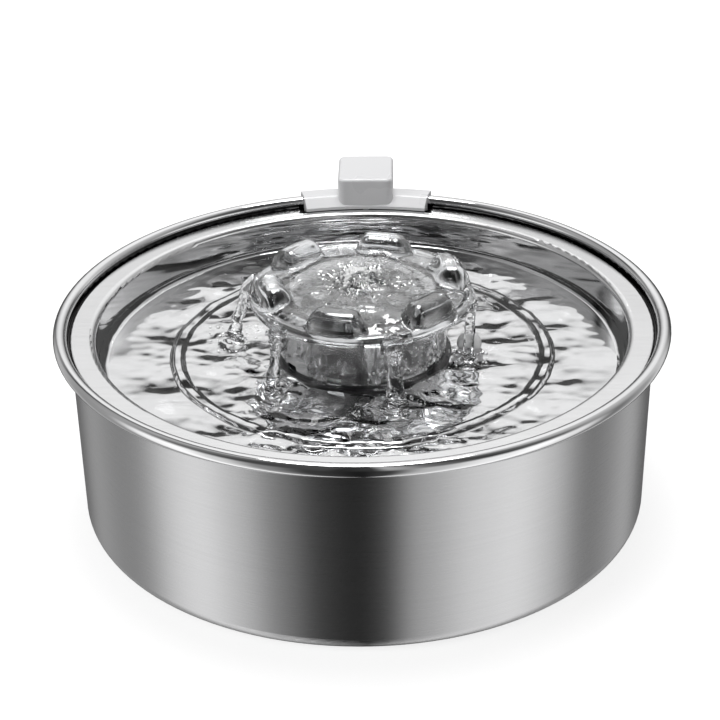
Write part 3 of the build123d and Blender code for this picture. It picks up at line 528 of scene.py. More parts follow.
def open_foam(name, tint):
    """Open cells of foam, with dark holes."""
    finish = Finish(name)
    tree = finish.tree
    inputs = {"Vector": place_node(tree), "Scale": 620.0}
    cells = node(tree, "ShaderNodeTexVoronoi", inputs).outputs["Distance"]
    wall = mapped(tree, cells, 0.2, 0.55, 0.0, 1.0)
    tone = blended(tree, wall, lighter(tint, 0.25), lighter(tint, 1.3))
    gloss = mapped(tree, wall, 0.0, 1.0, 1.0, 0.7)
    return finish.done(tone, gloss, wall, 0.4)


# ---------------------------------------------------------------- helpers for meshes


def paint(material, *names):
    """Gives CAD pieces their finish."""
    for name in names:
        piece = frame["nodes"][name]
        if not piece.material_slots:
            piece.data.materials.append(material)
        for place in piece.material_slots:
            place.material = material


def polar(radius, turn, height):
    """Point at a distance from the Z axis, in a direction and at a height."""
    return (radius * math.cos(turn), radius * math.sin(turn), height)


def linked(name, data):
    """Object for a mesh, a curve, a lamp or a camera, in the scene."""
    piece = bpy.data.objects.new(name, data)
    bpy.context.scene.collection.objects.link(piece)
    return piece


def dressed(mesh, material):
    """Gives a mesh one material and smooth faces."""
    mesh.materials.clear()
    mesh.materials.append(material)
    mesh.shade_smooth()
    return mesh


def plain_mesh(piece):
    """Mesh of what an object's curve or modifiers make. The object itself goes."""
    graph = bpy.context.evaluated_depsgraph_get()
    mesh = bpy.data.meshes.new_from_object(piece.evaluated_get(graph), depsgraph=graph)
    bpy.data.objects.remove(piece)
    return mesh


def grown(name, data, tree, values):
    """Plain piece that a tree makes from an object's data."""
    source = linked(name + "_source", data)
    modifier = source.modifiers.new("Grow", "NODES")
    modifier.node_group = tree
    for item in tree.interface.items_tree:
        if item.in_out == "INPUT" and item.name in values:
            modifier[item.identifier] = values[item.name]
    return linked(name, plain_mesh(source))


def wrapped_mesh(name, radius, turn, height, material, middle=(0.0, 0.0, 0.0)):
    """Closed skin over outlines round an upright axis, joined up both ways, with poles and seams merged."""
    x, y = middle[0] + radius * np.cos(turn), middle[1] + radius * np.sin(turn)
    vertices = np.stack(np.broadcast_arrays(x, y, height), axis=-1)
    turns, points = vertices.shape[:2]
    i, j = np.meshgrid(np.arange(turns), np.arange(points), indexing="ij")
    i_next, j_next = (i + 1) % turns, (j + 1) % points
    corners = [i * points + j, i_next * points + j, i_next * points + j_next, i * points + j_next]
    mesh = bpy.data.meshes.new(name)
    mesh.from_pydata(vertices.reshape(-1, 3).tolist(), [], np.stack(corners, axis=-1).reshape(-1, 4).tolist())
    work = bmesh.new()
    work.from_mesh(mesh)
    bmesh.ops.remove_doubles(work, verts=work.verts, dist=1e-6)
    bmesh.ops.dissolve_degenerate(work, edges=work.edges, dist=1e-7)
    bmesh.ops.recalc_face_normals(work, faces=work.faces)
    work.to_mesh(mesh)
    work.free()
    return linked(name, dressed(mesh, material))


def smooth_max(a, b, soft):
    """The larger of two heights, with a round where they meet."""
    return (a + b + np.sqrt((a - b) ** 2 + soft**2)) / 2


def fractal(x, y, z, scale, octaves=3, smoothness=0.6):
    """Noise from about -1 to 1 over arrays of places in metres; scale is in waves per metre."""
    places = np.stack(np.broadcast_arrays(x, y, z), axis=-1) * scale
    flat = places.reshape(-1, 3).tolist()
    values = [noise.fractal(Vector(place), smoothness, 2.1, octaves) for place in flat]
    return np.array(values).reshape(places.shape[:-1])


def skinned(piece, voxel, smoothing):
    """One smooth skin round all the closed forms of a piece, as a plain mesh."""
    skin = piece.modifiers.new("Skin", "REMESH")
    skin.mode = "VOXEL"
    skin.voxel_size = voxel
    soften = piece.modifiers.new("Soften", "SMOOTH")
    soften.factor = 0.5
    soften.iterations = smoothing
    name, material = piece.name, piece.data.materials[0]
    return linked(name, dressed(plain_mesh(piece), material))


def jittered(tree, geometry, scale, detail, reach):
    """Moves each point by noise, up to about half of reach along each axis."""
    place = node(tree, "GeometryNodeInputPosition").outputs[0]
    rough = noise_node(tree, place, scale, detail)[1]
    kind = "ShaderNodeVectorMath"
    centred = node(tree, kind, {0: rough, 1: (0.5, 0.5, 0.5)}, operation="SUBTRACT").outputs[0]
    scaled = node(tree, kind, {0: centred, "Scale": reach}, operation="SCALE").outputs[0]
    return node(tree, "GeometryNodeSetPosition", {"Geometry": geometry, "Offset": scaled}).outputs[0]


def scattered(name, places, material, detail=3, lumps=0.0):
    """Round drops or grains at places, a list of (point, size along each axis, turn about each axis)."""
    points = bpy.data.meshes.new(name + "_points")
    points.from_pydata([tuple(point) for point, _, _ in places], [], [])
    inputs = [("Detail", "NodeSocketInt", 3), ("Lumps", "NodeSocketFloat", 0.0)]
    tree, entry = geometry_tree(name + "_tree", [*inputs, ("Material", "NodeSocketMaterial", None)])
    given = []
    for index, key in enumerate(("size", "spin"), start=1):
        attribute = points.attributes.new(key, "FLOAT_VECTOR", "POINT")
        attribute.data.foreach_set("vector", [value for place in places for value in place[index]])
        kind = "GeometryNodeInputNamedAttribute"
        given.append(node(tree, kind, {"Name": key}, data_type="FLOAT_VECTOR").outputs[0])
    size, spin = given
    inputs = {"Radius": 1.0, "Subdivisions": entry["Detail"]}
    ball = node(tree, "GeometryNodeMeshIcoSphere", inputs).outputs[0]
    turned = node(tree, "FunctionNodeEulerToRotation", {0: spin}).outputs[0]
    inputs = {"Points": entry["Geometry"], "Instance": ball, "Rotation": turned, "Scale": size}
    many = node(tree, "GeometryNodeInstanceOnPoints", inputs).outputs[0]
    real = node(tree, "GeometryNodeRealizeInstances", {0: many}).outputs[0]
    close_tree(tree, jittered(tree, real, 900.0, 1.0, entry["Lumps"]), entry["Material"])
    return grown(name, points, tree, {"Detail": detail, "Lumps": lumps, "Material": material})


def joined(name, pieces):
    """One plain mesh of several pieces."""
    work = bmesh.new()
    materials = []
    for piece in pieces:
        first = len(work.faces)
        work.from_mesh(piece.data)
        material = piece.data.materials[0]
        if material not in materials:
            materials.append(material)
        work.faces.ensure_lookup_table()
        for face in work.faces[first:]:
            face.material_index = materials.index(material)
        bpy.data.objects.remove(piece)
    mesh = bpy.data.meshes.new(name)
    work.to_mesh(mesh)
    work.free()
    for material in materials:
        mesh.materials.append(material)
    return linked(name, mesh)


def ring_pad(name, box_name, inner, corner, material, relief, turns=300):
    """Closed soft ring that fills a CAD ring's space. Relief gives how far each place of it is pressed in."""
    low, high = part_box(box_name)
    outer, middle = high.x, (low.z + high.z) / 2
    half_width, half_height = (outer - inner) / 2, (high.z - low.z) / 2
    centre = (outer + inner) / 2
    round_x = np.array([1.0, 1.0, -1.0, -1.0])
    round_z = np.array([-1.0, 1.0, 1.0, -1.0])
    radii, heights = [], []
    for side, (sign_x, sign_z) in enumerate(zip(round_x, round_z)):
        arc = np.radians(np.linspace(0, 90, 7) + (side - 1) * 90)
        radii.append(centre + sign_x * (half_width - corner) + corner * np.cos(arc))
        heights.append(middle + sign_z * (half_height - corner) + corner * np.sin(arc))
        if side % 2:
            step = np.linspace(0, 1, 34)[1:-1]
            away = round_x[(side + 1) % 4]
            radii.append(centre + (sign_x + (away - sign_x) * step) * (half_width - corner))
            heights.append(np.full(len(step), middle + sign_z * half_height))
        else:
            step = np.linspace(0, 1, 12)[1:-1]
            radii.append(np.full(len(step), centre + sign_x * half_width))
            heights.append(middle + (sign_z - 2 * sign_z * step) * (half_height - corner))
    radius, height = np.concatenate(radii), np.concatenate(heights)
    turn = np.linspace(0, math.tau, turns, endpoint=False)[:, None]
    pressed = relief(radius * np.cos(turn), radius * np.sin(turn), height + 0 * turn)
    off_r, off_z = radius - centre, height - middle
    reach = np.hypot(off_r / half_width, off_z / half_height)
    radius = radius - pressed * off_r / half_width / reach
    height = height - pressed * off_z / half_height / reach
    return wrapped_mesh(name, radius, turn, height, material)


# ---------------------------------------------------------------- the cap's shape


def petal_shape(sizes, radius, turn):
    """Height of the petals above the plate, from 0, over arrays of radius and direction."""
    off = (turn - sizes.petal_phase + PETAL_STEP / 2) % PETAL_STEP - PETAL_STEP / 2
    corner = sizes.petal_corner
    beyond_x = np.abs(sizes.petal_pitch * off) - (sizes.petal_width - corner)
    beyond_y = np.abs(radius - sizes.petal_pitch) - (sizes.petal_depth - corner)
    outside = np.hypot(np.maximum(beyond_x, 0), np.maximum(beyond_y, 0))
    inside = np.minimum(np.maximum(beyond_x, beyond_y), 0)
    share = np.clip((corner - outside - inside) / sizes.petal_shoulder, 0, 1)
    dome = sizes.petal_rise * (1 - (1 - share) ** 2.2) ** 0.66
    return smooth_max(dome, 0 * dome, 0.8 * MM)


def cap_top(sizes, radius, turn):
    """Height of the cap's upper side."""
    plate = sizes.cap_plate + sizes.cap_wall
    rim_middle = sizes.cap_radius - sizes.cap_rim
    inside = np.clip(1 - ((radius - rim_middle) / sizes.cap_rim) ** 2, 0, 1)
    bead = sizes.cap_plate + sizes.cap_wall / 2 + sizes.cap_rim * np.sqrt(inside)
    base = np.where(radius > rim_middle, bead, smooth_max(np.full_like(radius, plate), bead, 0.3 * MM))
    return base + petal_shape(sizes, radius, turn)


def cap_underside(sizes, radius):
    """Height of the plate's lower side, which drops to the rim's lowest point."""
    rim_middle = sizes.cap_radius - sizes.cap_rim
    rim_foot = sizes.cap_plate + sizes.cap_wall / 2 - sizes.cap_rim
    plain = np.clip((rim_middle - radius) / (1.5 * MM), 0, 1)
    return rim_foot + plain * (sizes.cap_plate - rim_foot)


# ---------------------------------------------------------------- operators


class FOUNTAIN_OT_stage(bpy.types.Operator):
    """Camera, floor, lamps and surroundings"""

    bl_idname = "fountain.stage"
    bl_label = "Stage"

    def execute(self, context):
        scene = context.scene
        studio = scene.fountain_studio
        scene.view_settings.view_transform = "Standard"
        self.make_camera(scene, studio)
        self.make_floor()
        self.make_world(scene, studio)
        self.make_lamp("lamp_above", (0.0, 0.25, 1.5), 0.8, 12.0)
        unseen = self.make_lamp("lamp_left", (-1.3, -0.6, 0.9), 0.9, 6.0)
        unseen.visible_glossy = False
        unseen.visible_transmission = False
        return {"FINISHED"}

    def make_camera(self, scene, studio):
        """Looks at the middle of the rim, which stands a little off the picture's middle."""
        target = Vector((0.0, 0.0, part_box("bowl")[1].z))
        flat = math.cos(studio.elevation)
        back = Vector(
            (math.sin(studio.azimuth) * flat, -math.cos(studio.azimuth) * flat, math.sin(studio.elevation))
        )
        data = bpy.data.cameras.new("camera")
        data.sensor_width = 36.0
        data.lens = studio.lens
        camera = linked("camera", data)
        pixel = data.sensor_width / PICTURE_PIXELS / data.lens
        down, aside = math.atan(studio.rim_up * pixel), math.atan(studio.rim_right * pixel)
        sideways = (-back).to_track_quat("-Z", "Y").to_matrix() @ Vector((1.0, 0.0, 0.0))
        look = -back
        look.rotate(Quaternion(sideways, -down))
        turn = look.to_track_quat("-Z", "Y") @ Quaternion((0, 1, 0), aside)
        camera.location = target + back * studio.distance
        camera.rotation_mode = "QUATERNION"
        camera.rotation_quaternion = turn @ Quaternion((0, 0, 1), studio.roll)
        scene.camera = camera

    def make_floor(self):
        """Floor that keeps shadows, and looks white where none falls."""
        work = bmesh.new()
        bmesh.ops.create_circle(work, cap_ends=True, segments=96, radius=6.0)
        mesh = bpy.data.meshes.new("floor")
        work.to_mesh(mesh)
        work.free()
        floor = linked("floor", mesh)
        floor.visible_glossy = False
        floor.visible_transmission = False
        material = bpy.data.materials.new("pale_floor")
        material.use_nodes = True
        tree = material.node_tree
        tree.nodes.clear()
        path = node(tree, "ShaderNodeLightPath").outputs
        glow = node(tree, "ShaderNodeEmission", {"Color": (1.0, 1.0, 1.0, 1.0)})
        tree.links.new(math_node(tree, "MULTIPLY", path["Is Camera Ray"], 0.74), glow.inputs["Strength"])
        paper = node(tree, "ShaderNodeBsdfDiffuse", {"Color": (0.4, 0.4, 0.4, 1.0)})
        both = node(tree, "ShaderNodeAddShader", {0: glow.outputs[0], 1: paper.outputs[0]})
        node(tree, "ShaderNodeOutputMaterial", {"Surface": both.outputs[0]})
        mesh.materials.append(material)

    def make_lamp(self, name, place, size, power):
        """Round lamp that shines at the tray."""
        data = bpy.data.lights.new(name, "AREA")
        data.shape = "DISK"
        data.size = size
        data.energy = power
        lamp = linked(name, data)
        lamp.location = place
        lamp.rotation_mode = "QUATERNION"
        target = Vector((0.0, 0.0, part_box("bowl")[1].z / 2))
        lamp.rotation_quaternion = (target - Vector(place)).to_track_quat("-Z", "Y")
        return lamp

    def make_world(self, scene, studio):
        """White for the camera, plain light, and pale screens with dark gaps for what reflects."""
        world = bpy.data.worlds.new("studio")
        scene.world = world
        world.use_nodes = True
        tree = world.node_tree
        tree.nodes.clear()
        direction = node(tree, "ShaderNodeTexCoord").outputs["Generated"]
        parts = node(tree, "ShaderNodeSeparateXYZ", {0: direction}).outputs
        azimuth = math_node(tree, "ARCTAN2", parts[0], math_node(tree, "MULTIPLY", parts[1], -1.0))
        share = mapped(tree, azimuth, -math.pi, math.pi, 0.0, 1.0)
        raised = mapped(tree, parts[2], *SCREEN_EDGE, 0.0, 1.0)
        low, high = (self.ramp(tree, share, stops) for stops in (LOW_SCREENS, HIGH_SCREENS))
        surroundings = blended(tree, raised, low, high)
        strength = mapped(tree, parts[2], *OVERHEAD_EDGE, studio.screens, studio.screens * studio.overhead)
        white = (1.0, 1.0, 1.0, 1.0)
        screens, soft, plain = (
            node(tree, "ShaderNodeBackground", {"Color": shade, "Strength": power}).outputs[0]
            for shade, power in ((surroundings, strength), (white, studio.fill), (white, 1.0))
        )
        path = node(tree, "ShaderNodeLightPath").outputs
        by_mirror = math_node(tree, "MAXIMUM", path["Is Glossy Ray"], path["Is Transmission Ray"])
        lit = node(tree, "ShaderNodeMixShader", {0: by_mirror, 1: soft, 2: screens}).outputs[0]
        seen = node(tree, "ShaderNodeMixShader", {0: path["Is Camera Ray"], 1: lit, 2: plain}).outputs[0]
        node(tree, "ShaderNodeOutputWorld", {"Surface": seen})

    def ramp(self, tree, share, stops):
        """Grey that depends on the direction, from stops of (degrees from the front, grey)."""
        made = node(tree, "ShaderNodeValToRGB", {"Fac": share})
        made.color_ramp.interpolation = "EASE"
        elements = made.color_ramp.elements
        while len(elements) > 1:
            elements.remove(elements[-1])
        for index, (degrees, grey) in enumerate(stops):
            place = (degrees + 180) / 360
            element = elements[0] if index == 0 else elements.new(place)
            element.position = place
            element.color = (grey, grey, grey, 1.0)
        return made.outputs[0]


class FOUNTAIN_OT_steel(bpy.types.Operator):
    """Finishes of the bowl, the drinking tray and the pedestal"""

    bl_idname = "fountain.steel"
    bl_label = "Bowl, Tray and Pedestal"

    def execute(self, context):
        colours = context.scene.fountain_colours
        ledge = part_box("rim_saddle")[0].z
        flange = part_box("tray")[1].z
        bright = lighter(colours.steel, 1.3)
        paint(brushed_steel("brushed_bowl_steel", colours.steel, polished_above=ledge - 1.0 * MM), "bowl")
        paint(polished_steel("polished_tray_steel", colours.polished, satin_above=flange - 1.2 * MM), "tray")
        paint(brushed_steel("pedestal_steel", bright, 0.12, lines=5000.0, depth=0.002), "pedestal")
        return {"FINISHED"}


class FOUNTAIN_OT_cap(bpy.types.Operator):
    """Clear cap with six petals round its rim, over the riser"""

    bl_idname = "fountain.cap"
    bl_label = "Cap and Riser"

    def execute(self, context):
        sizes = context.scene.fountain_sizes
        turn = np.linspace(0, math.tau, 480, endpoint=False)[:, None]
        radius, height = self.section(sizes, turn)
        clear = clear_plastic("clear_cap_plastic")
        cap = wrapped_mesh("petal_cap", radius, turn, height, clear)
        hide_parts("fountain_cap")
        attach(cap, "cap")
        silicone = context.scene.fountain_colours.silicone
        paint(clear_plastic("riser_plastic", tint=(0.92, 0.94, 0.95), roughness=0.12), "riser_tube")
        paint(moulded_plastic("seal_silicone", silicone, roughness=0.35, scale=500.0), "riser_seal")
        return {"FINISHED"}

    def section(self, sizes, turn):
        """Closed outline of the cap at each direction, as arrays of radius and height."""
        low, high = sizes.cap_plate, sizes.cap_plate + sizes.cap_wall
        rim_middle, rim_height = sizes.cap_radius - sizes.cap_rim, (low + high) / 2
        nozzle_top, chamfer = high + sizes.nozzle_height, 0.4 * MM
        grid_start = sizes.petal_pitch - sizes.petal_depth - 2 * MM
        nozzle = [
            (sizes.nozzle_bore, low),
            (sizes.nozzle_bore, nozzle_top),
            (sizes.nozzle_radius - chamfer, nozzle_top),
            (sizes.nozzle_radius, nozzle_top - chamfer),
        ]
        plain = np.linspace(sizes.nozzle_radius + 0.05 * MM, grid_start, 10)[:-1]
        top = np.concatenate([plain, np.linspace(grid_start, rim_middle, 56)])
        nose = np.radians(np.linspace(90, -90, 19)[1:])
        under = np.linspace(rim_middle, sizes.spigot_radius + 0.3 * MM, 36)
        inner_spigot = sizes.spigot_radius - sizes.under_wall
        outer_boss = sizes.boss_bore + sizes.under_wall
        rings = [
            (sizes.spigot_radius, low),
            (sizes.spigot_radius, low - sizes.spigot_height),
            (inner_spigot, low - sizes.spigot_height),
            (inner_spigot, low),
            (outer_boss, low),
            (outer_boss, sizes.boss_foot),
            (sizes.boss_bore, sizes.boss_foot),
            (sizes.boss_bore, low),
        ]
        nose_radius = rim_middle + sizes.cap_rim * np.cos(nose)
        over_nose = petal_shape(sizes, nose_radius + 0 * turn, turn) * np.clip(np.sin(nose), 0, 1)
        parts = [
            np.array(nozzle).T[:, None, :],
            (top, cap_top(sizes, top + 0 * turn, turn)),
            (nose_radius, rim_height + sizes.cap_rim * np.sin(nose) + over_nose),
            (under, cap_underside(sizes, under)),
            np.array(rings).T[:, None, :],
        ]
        radius = np.concatenate([part[0] + 0 * turn for part in parts], axis=1)
        height = np.concatenate([part[1] + 0 * turn for part in parts], axis=1)
        return radius, height


class FOUNTAIN_OT_rim(bpy.types.Operator):
    """Finishes of the plate and block on the rim and of what they hold, and the lead from the pump"""

    bl_idname = "fountain.rim"
    bl_label = "Rim Plate, Block and Lead"

    def execute(self, context):
        sizes = context.scene.fountain_sizes
        colours = context.scene.fountain_colours
        pale = moulded_plastic("rim_plastic", colours.rim_plastic, roughness=0.3, coat=0.25)
        sheath = soft_rubber("lead_sheath", colours.sheath, roughness=0.45)
        paint(pale, "rim_saddle", "cord_block_shell")
        paint(ground_piece("screw_steel", (0.6, 0.6, 0.61), 0.3, metallic=1.0), "block_screws")
        paint(circuit_board("socket_board_mask", colours.board), "socket_board")
        paint(moulded_plastic("socket_black", (0.04, 0.04, 0.045), roughness=0.5), "dc_socket")
        paint(sheath, "socket_lead")
        data = bpy.data.curves.new("lead_route", "CURVE")
        data.dimensions = "3D"
        data.bevel_depth = sizes.lead_radius
        data.bevel_resolution = 5
        data.resolution_u = 16
        data.use_fill_caps = True
        spline = data.splines.new("NURBS")
        spline.points.add(len(LEAD_ROUTE) - 1)
        for point, place in zip(spline.points, LEAD_ROUTE):
            point.co = (*[value * MM for value in place], 1.0)
        spline.order_u = 3
        spline.use_endpoint_u = True
        lead = linked("pump_lead_sheath", dressed(plain_mesh(linked("lead_source", data)), sheath))
        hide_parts("pump_lead")
        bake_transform(lead)
        return {"FINISHED"}


class FOUNTAIN_OT_filter(bpy.types.Operator):
    """Filter box, its ring and lid, and the cotton, carbon and sponge that it holds"""

    bl_idname = "fountain.filter"
    bl_label = "Filter"

    def execute(self, context):
        colours = context.scene.fountain_colours
        paint(moulded_plastic("filter_plastic", colours.filter_plastic), "filter_box", "filter_lid")
        paint(moulded_plastic("ring_plastic", colours.ring_plastic), "filter_ring")
        inner = MEDIA_BORE * MM
        fibres, cells = felt("cotton", colours.cotton), open_foam("foam", colours.foam)
        cotton = ring_pad("cotton_pad", "filter_cotton", inner, 1.3 * MM, fibres, self.felt_relief)
        sponge = ring_pad("sponge_pad", "filter_sponge", inner, 0.8 * MM, cells, self.foam_relief)
        carbon = self.carbon_bed(ground_piece("carbon", colours.carbon, 0.7), inner)
        fills = ((cotton, "filter_cotton", "cotton", 0.6), (sponge, "filter_sponge", "foam", 1.0))
        for piece, name, slot, fill in fills:
            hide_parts(name)
            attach(piece, "filter")
        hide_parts("carbon_bed")
        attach(carbon, "filter")
        return {"FINISHED"}

    def felt_relief(self, x, y, z):
        """Matted tufts, a little hollow between them."""
        return (0.5 + 0.5 * fractal(x, y, z, 260.0, 3)).clip(0, 1) * 0.45 * MM

    def foam_relief(self, x, y, z):
        """Open cells that are cut through at the skin."""
        places = np.stack([x, y, z], axis=-1).reshape(-1, 3) * 520.0
        nearest = [noise.voronoi(Vector(place))[0][0] for place in places.tolist()]
        return (0.62 - np.array(nearest).reshape(x.shape)).clip(0, 0.5) * 0.9 * MM

    def carbon_bed(self, material, inner):
        """Granules that lie over a core of the same carbon."""
        low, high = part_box("carbon_bed")
        outer, grain = high.x, 0.95 * MM
        core = ring_pad(
            "carbon_core", "carbon_bed", inner, 1.2 * MM, material, lambda x, y, z: 0 * x + grain, turns=90
        )
        draw = random.Random(11)
        places = []
        for _ in range(GRAINS):
            face = draw.choices(("top", "bottom", "outside", "inside"), weights=(40, 40, 28, 12))[0]
            radius = math.sqrt(draw.uniform((inner + grain) ** 2, (outer - grain) ** 2))
            height = draw.uniform(low.z + grain, high.z - grain)
            if face in ("top", "bottom"):
                height = high.z - grain if face == "top" else low.z + grain
            else:
                radius = outer - grain if face == "outside" else inner + grain
            turn = draw.uniform(0, math.tau)
            size = [grain * draw.uniform(0.62, 0.95) for _ in range(3)]
            spin = [draw.uniform(0, math.pi) for _ in range(3)]
            places.append((polar(radius, turn, height), size, spin))
        grains = scattered("carbon_grains", places, material, detail=2, lumps=0.35 * MM)
        return joined("carbon_granules", [core, grains])


class FOUNTAIN_OT_pump(bpy.types.Operator):
    """Finishes of the pump's housing, rotor, stator and board"""

    bl_idname = "fountain.pump"
    bl_label = "Pump"

    def execute(self, context):
        colours = context.scene.fountain_colours
        shell = moulded_plastic("pump_plastic", colours.pump_plastic)
        rotor = moulded_plastic("rotor_plastic", colours.rotor_plastic, roughness=0.35, scale=900.0)
        rubber = soft_rubber("black_rubber", colours.rubber)
        feet = moulded_plastic("feet_silicone", colours.silicone, roughness=0.35, scale=500.0)
        board_front, board_back = (corner.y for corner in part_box("driver_board"))
        chips = board_front + 0.6 * (board_back - board_front)
        paint(shell, "pump_housing", "pump_inlet_cover", "pump_back_cover")
        paint(rotor, "impeller", "flow_regulator")
        paint(rubber, "shaft_bush_front", "shaft_bush_rear", "lead_grommet")
        paint(feet, "pump_feet")
        paint(ground_piece("ferrite", (0.1, 0.1, 0.105), 0.45), "rotor_magnet")
        paint(ground_piece("ceramic", (0.93, 0.92, 0.89), 0.15), "rotor_shaft")
        paint(layered_metal("lamination_steel", (0.32, 0.33, 0.34), 0.5), "stator_core")
        paint(layered_metal("copper", colours.copper, 0.45, radial=True, roughness=0.3), "stator_coils")
        paint(circuit_board("driver_board_mask", colours.board, chips_behind=chips), "driver_board")
        return {"FINISHED"}


# ---------------------------------------------------------------- water


def gap_direction(sizes, gap):
    """Direction of the gap after a petal, in radians."""
    return sizes.petal_phase + (gap + 0.5) * PETAL_STEP


def landing(sizes, gap):
    """Where the stream from a gap meets the pool, as radius and direction."""
    radius, lean, _ = STREAMS[gap]
    return radius * MM, gap_direction(sizes, gap) + math.radians(lean)


def tray_bed(sizes, radius):
    """Height of what the water lies on: lid, filter box, ring, floor with its rib, and the wall's foot."""
    ring_low, ring_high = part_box("filter_ring")
    box_high, lid_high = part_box("filter_box")[1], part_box("filter_lid")[1]
    off_rib = np.abs(radius - sizes.rib_radius)
    slope = (sizes.rib_width / 2 - off_rib) / (sizes.rib_width / 4)
    rib = sizes.rib_height * np.clip(slope, 0, 1)
    into_corner = np.clip(radius - (sizes.tray_foot - sizes.tray_corner), 0, sizes.tray_corner)
    corner = sizes.tray_corner - np.sqrt(sizes.tray_corner**2 - into_corner**2)
    floor = ring_low.z + rib + corner
    middle = [(radius < lid_high.x), (radius < box_high.x), (radius < ring_high.x)]
    return np.select(middle, [lid_high.z, box_high.z, ring_high.z], floor)


class FOUNTAIN_OT_pool(bpy.types.Operator):
    """Water that stands in the drinking tray, with ripples from the falling streams"""

    bl_idname = "fountain.pool"
    bl_label = "Pool"

    def execute(self, context):
        sizes = context.scene.fountain_sizes
        sink = 0.35 * MM
        turn = np.linspace(0, math.tau, 540, endpoint=False)[:, None]
        foot = sizes.tray_foot + 1.2 * sink
        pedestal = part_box("pedestal")[1].x
        surface = np.concatenate([np.linspace(0, pedestal, 10), np.linspace(pedestal + 0.7 * MM, foot, 120)])
        steps = [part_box(name)[1].x for name in ("filter_ring", "filter_box", "filter_lid")]
        rib_side = sizes.rib_width / 2 + sizes.rib_height
        rib = np.linspace(sizes.rib_radius + rib_side, sizes.rib_radius - rib_side, 25)
        corner = foot - sizes.tray_corner * (1 - np.cos(np.radians(np.linspace(8, 90, 7))))
        bed = np.concatenate([corner, rib, *[(step + sink, step - sink) for step in steps], [0.0]])
        x, y = surface * np.cos(turn), surface * np.sin(turn)
        top = sizes.water_level + self.waves(sizes, x, y, surface + 0 * turn)
        under = np.minimum(tray_bed(sizes, bed - sink), tray_bed(sizes, bed + sink)) - sink
        radius = np.concatenate([surface, bed])
        height = np.concatenate([top, under + 0 * turn], axis=1)
        pool = wrapped_mesh("pool", radius, turn, height, clear_water("pool_water", depth=0.004, dimmed=0.95))
        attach(pool, "tray")
        return {"FINISHED"}

    def waves(self, sizes, x, y, radius):
        """Slow waves that calm towards the wall, chop where the water falls, and a lip round each landing."""
        ring_step, ring_start, ring_reach, chop_reach = 1.65 * MM, 4 * MM, 21 * MM, 17 * MM
        lip_radius, lip_width, dent_radius = 4.6 * MM, 1.5 * MM, 3.2 * MM
        wave_calm, ring_calm = 24 * MM, 20 * MM
        front_start, front_depth, front_width = 62 * MM, 30 * MM, 78 * MM
        rings, rough = np.zeros_like(x), np.zeros_like(x)
        for gap in range(PETALS):
            reach, turn = landing(sizes, gap)
            away = np.hypot(x - reach * math.cos(turn), y - reach * math.sin(turn))
            near = np.exp(-away / ring_reach)
            rings += 0.36 * np.cos(away / ring_step + gap * 1.7) * near * np.clip(away / ring_start, 0, 1)
            lip = 0.75 * np.exp(-(((away - lip_radius) / lip_width) ** 2))
            rings += lip - 0.9 * np.exp(-((away / dent_radius) ** 2))
            rough += np.exp(-((away / chop_reach) ** 2))
        rough = np.clip(rough, 0, 1)
        to_wall = sizes.tray_foot - radius
        calm = np.clip(to_wall / wave_calm, 0.0, 1) ** 1.3
        front = np.clip((-y - front_start) / front_depth, 0, 1) * np.exp(-((x / front_width) ** 2))
        slow = fractal(0.7 * x, y, 0.0 * x, 34.0, 2, 1.1)
        middling = fractal(0.8 * x, y, 0.0 * x + 1.0, 78.0, 2, 1.0)
        fine = fractal(x, y, 0.0 * x + 2.0, 190.0, 3, 0.8)
        level = sizes.ripple * slow * (0.05 + 0.95 * calm)
        level += 0.6 * sizes.ripple * middling * (0.04 + calm * (0.8 + 0.6 * rough) + 1.3 * front)
        level += 0.4 * MM * fine * (0.08 * calm + 0.8 * rough + 1.0 * front)
        within = np.clip((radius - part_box("pedestal")[1].x) / (3 * MM), 0.12, 1)
        return (level + 0.9 * MM * rings * np.clip(to_wall / ring_calm, 0, 1)) * within


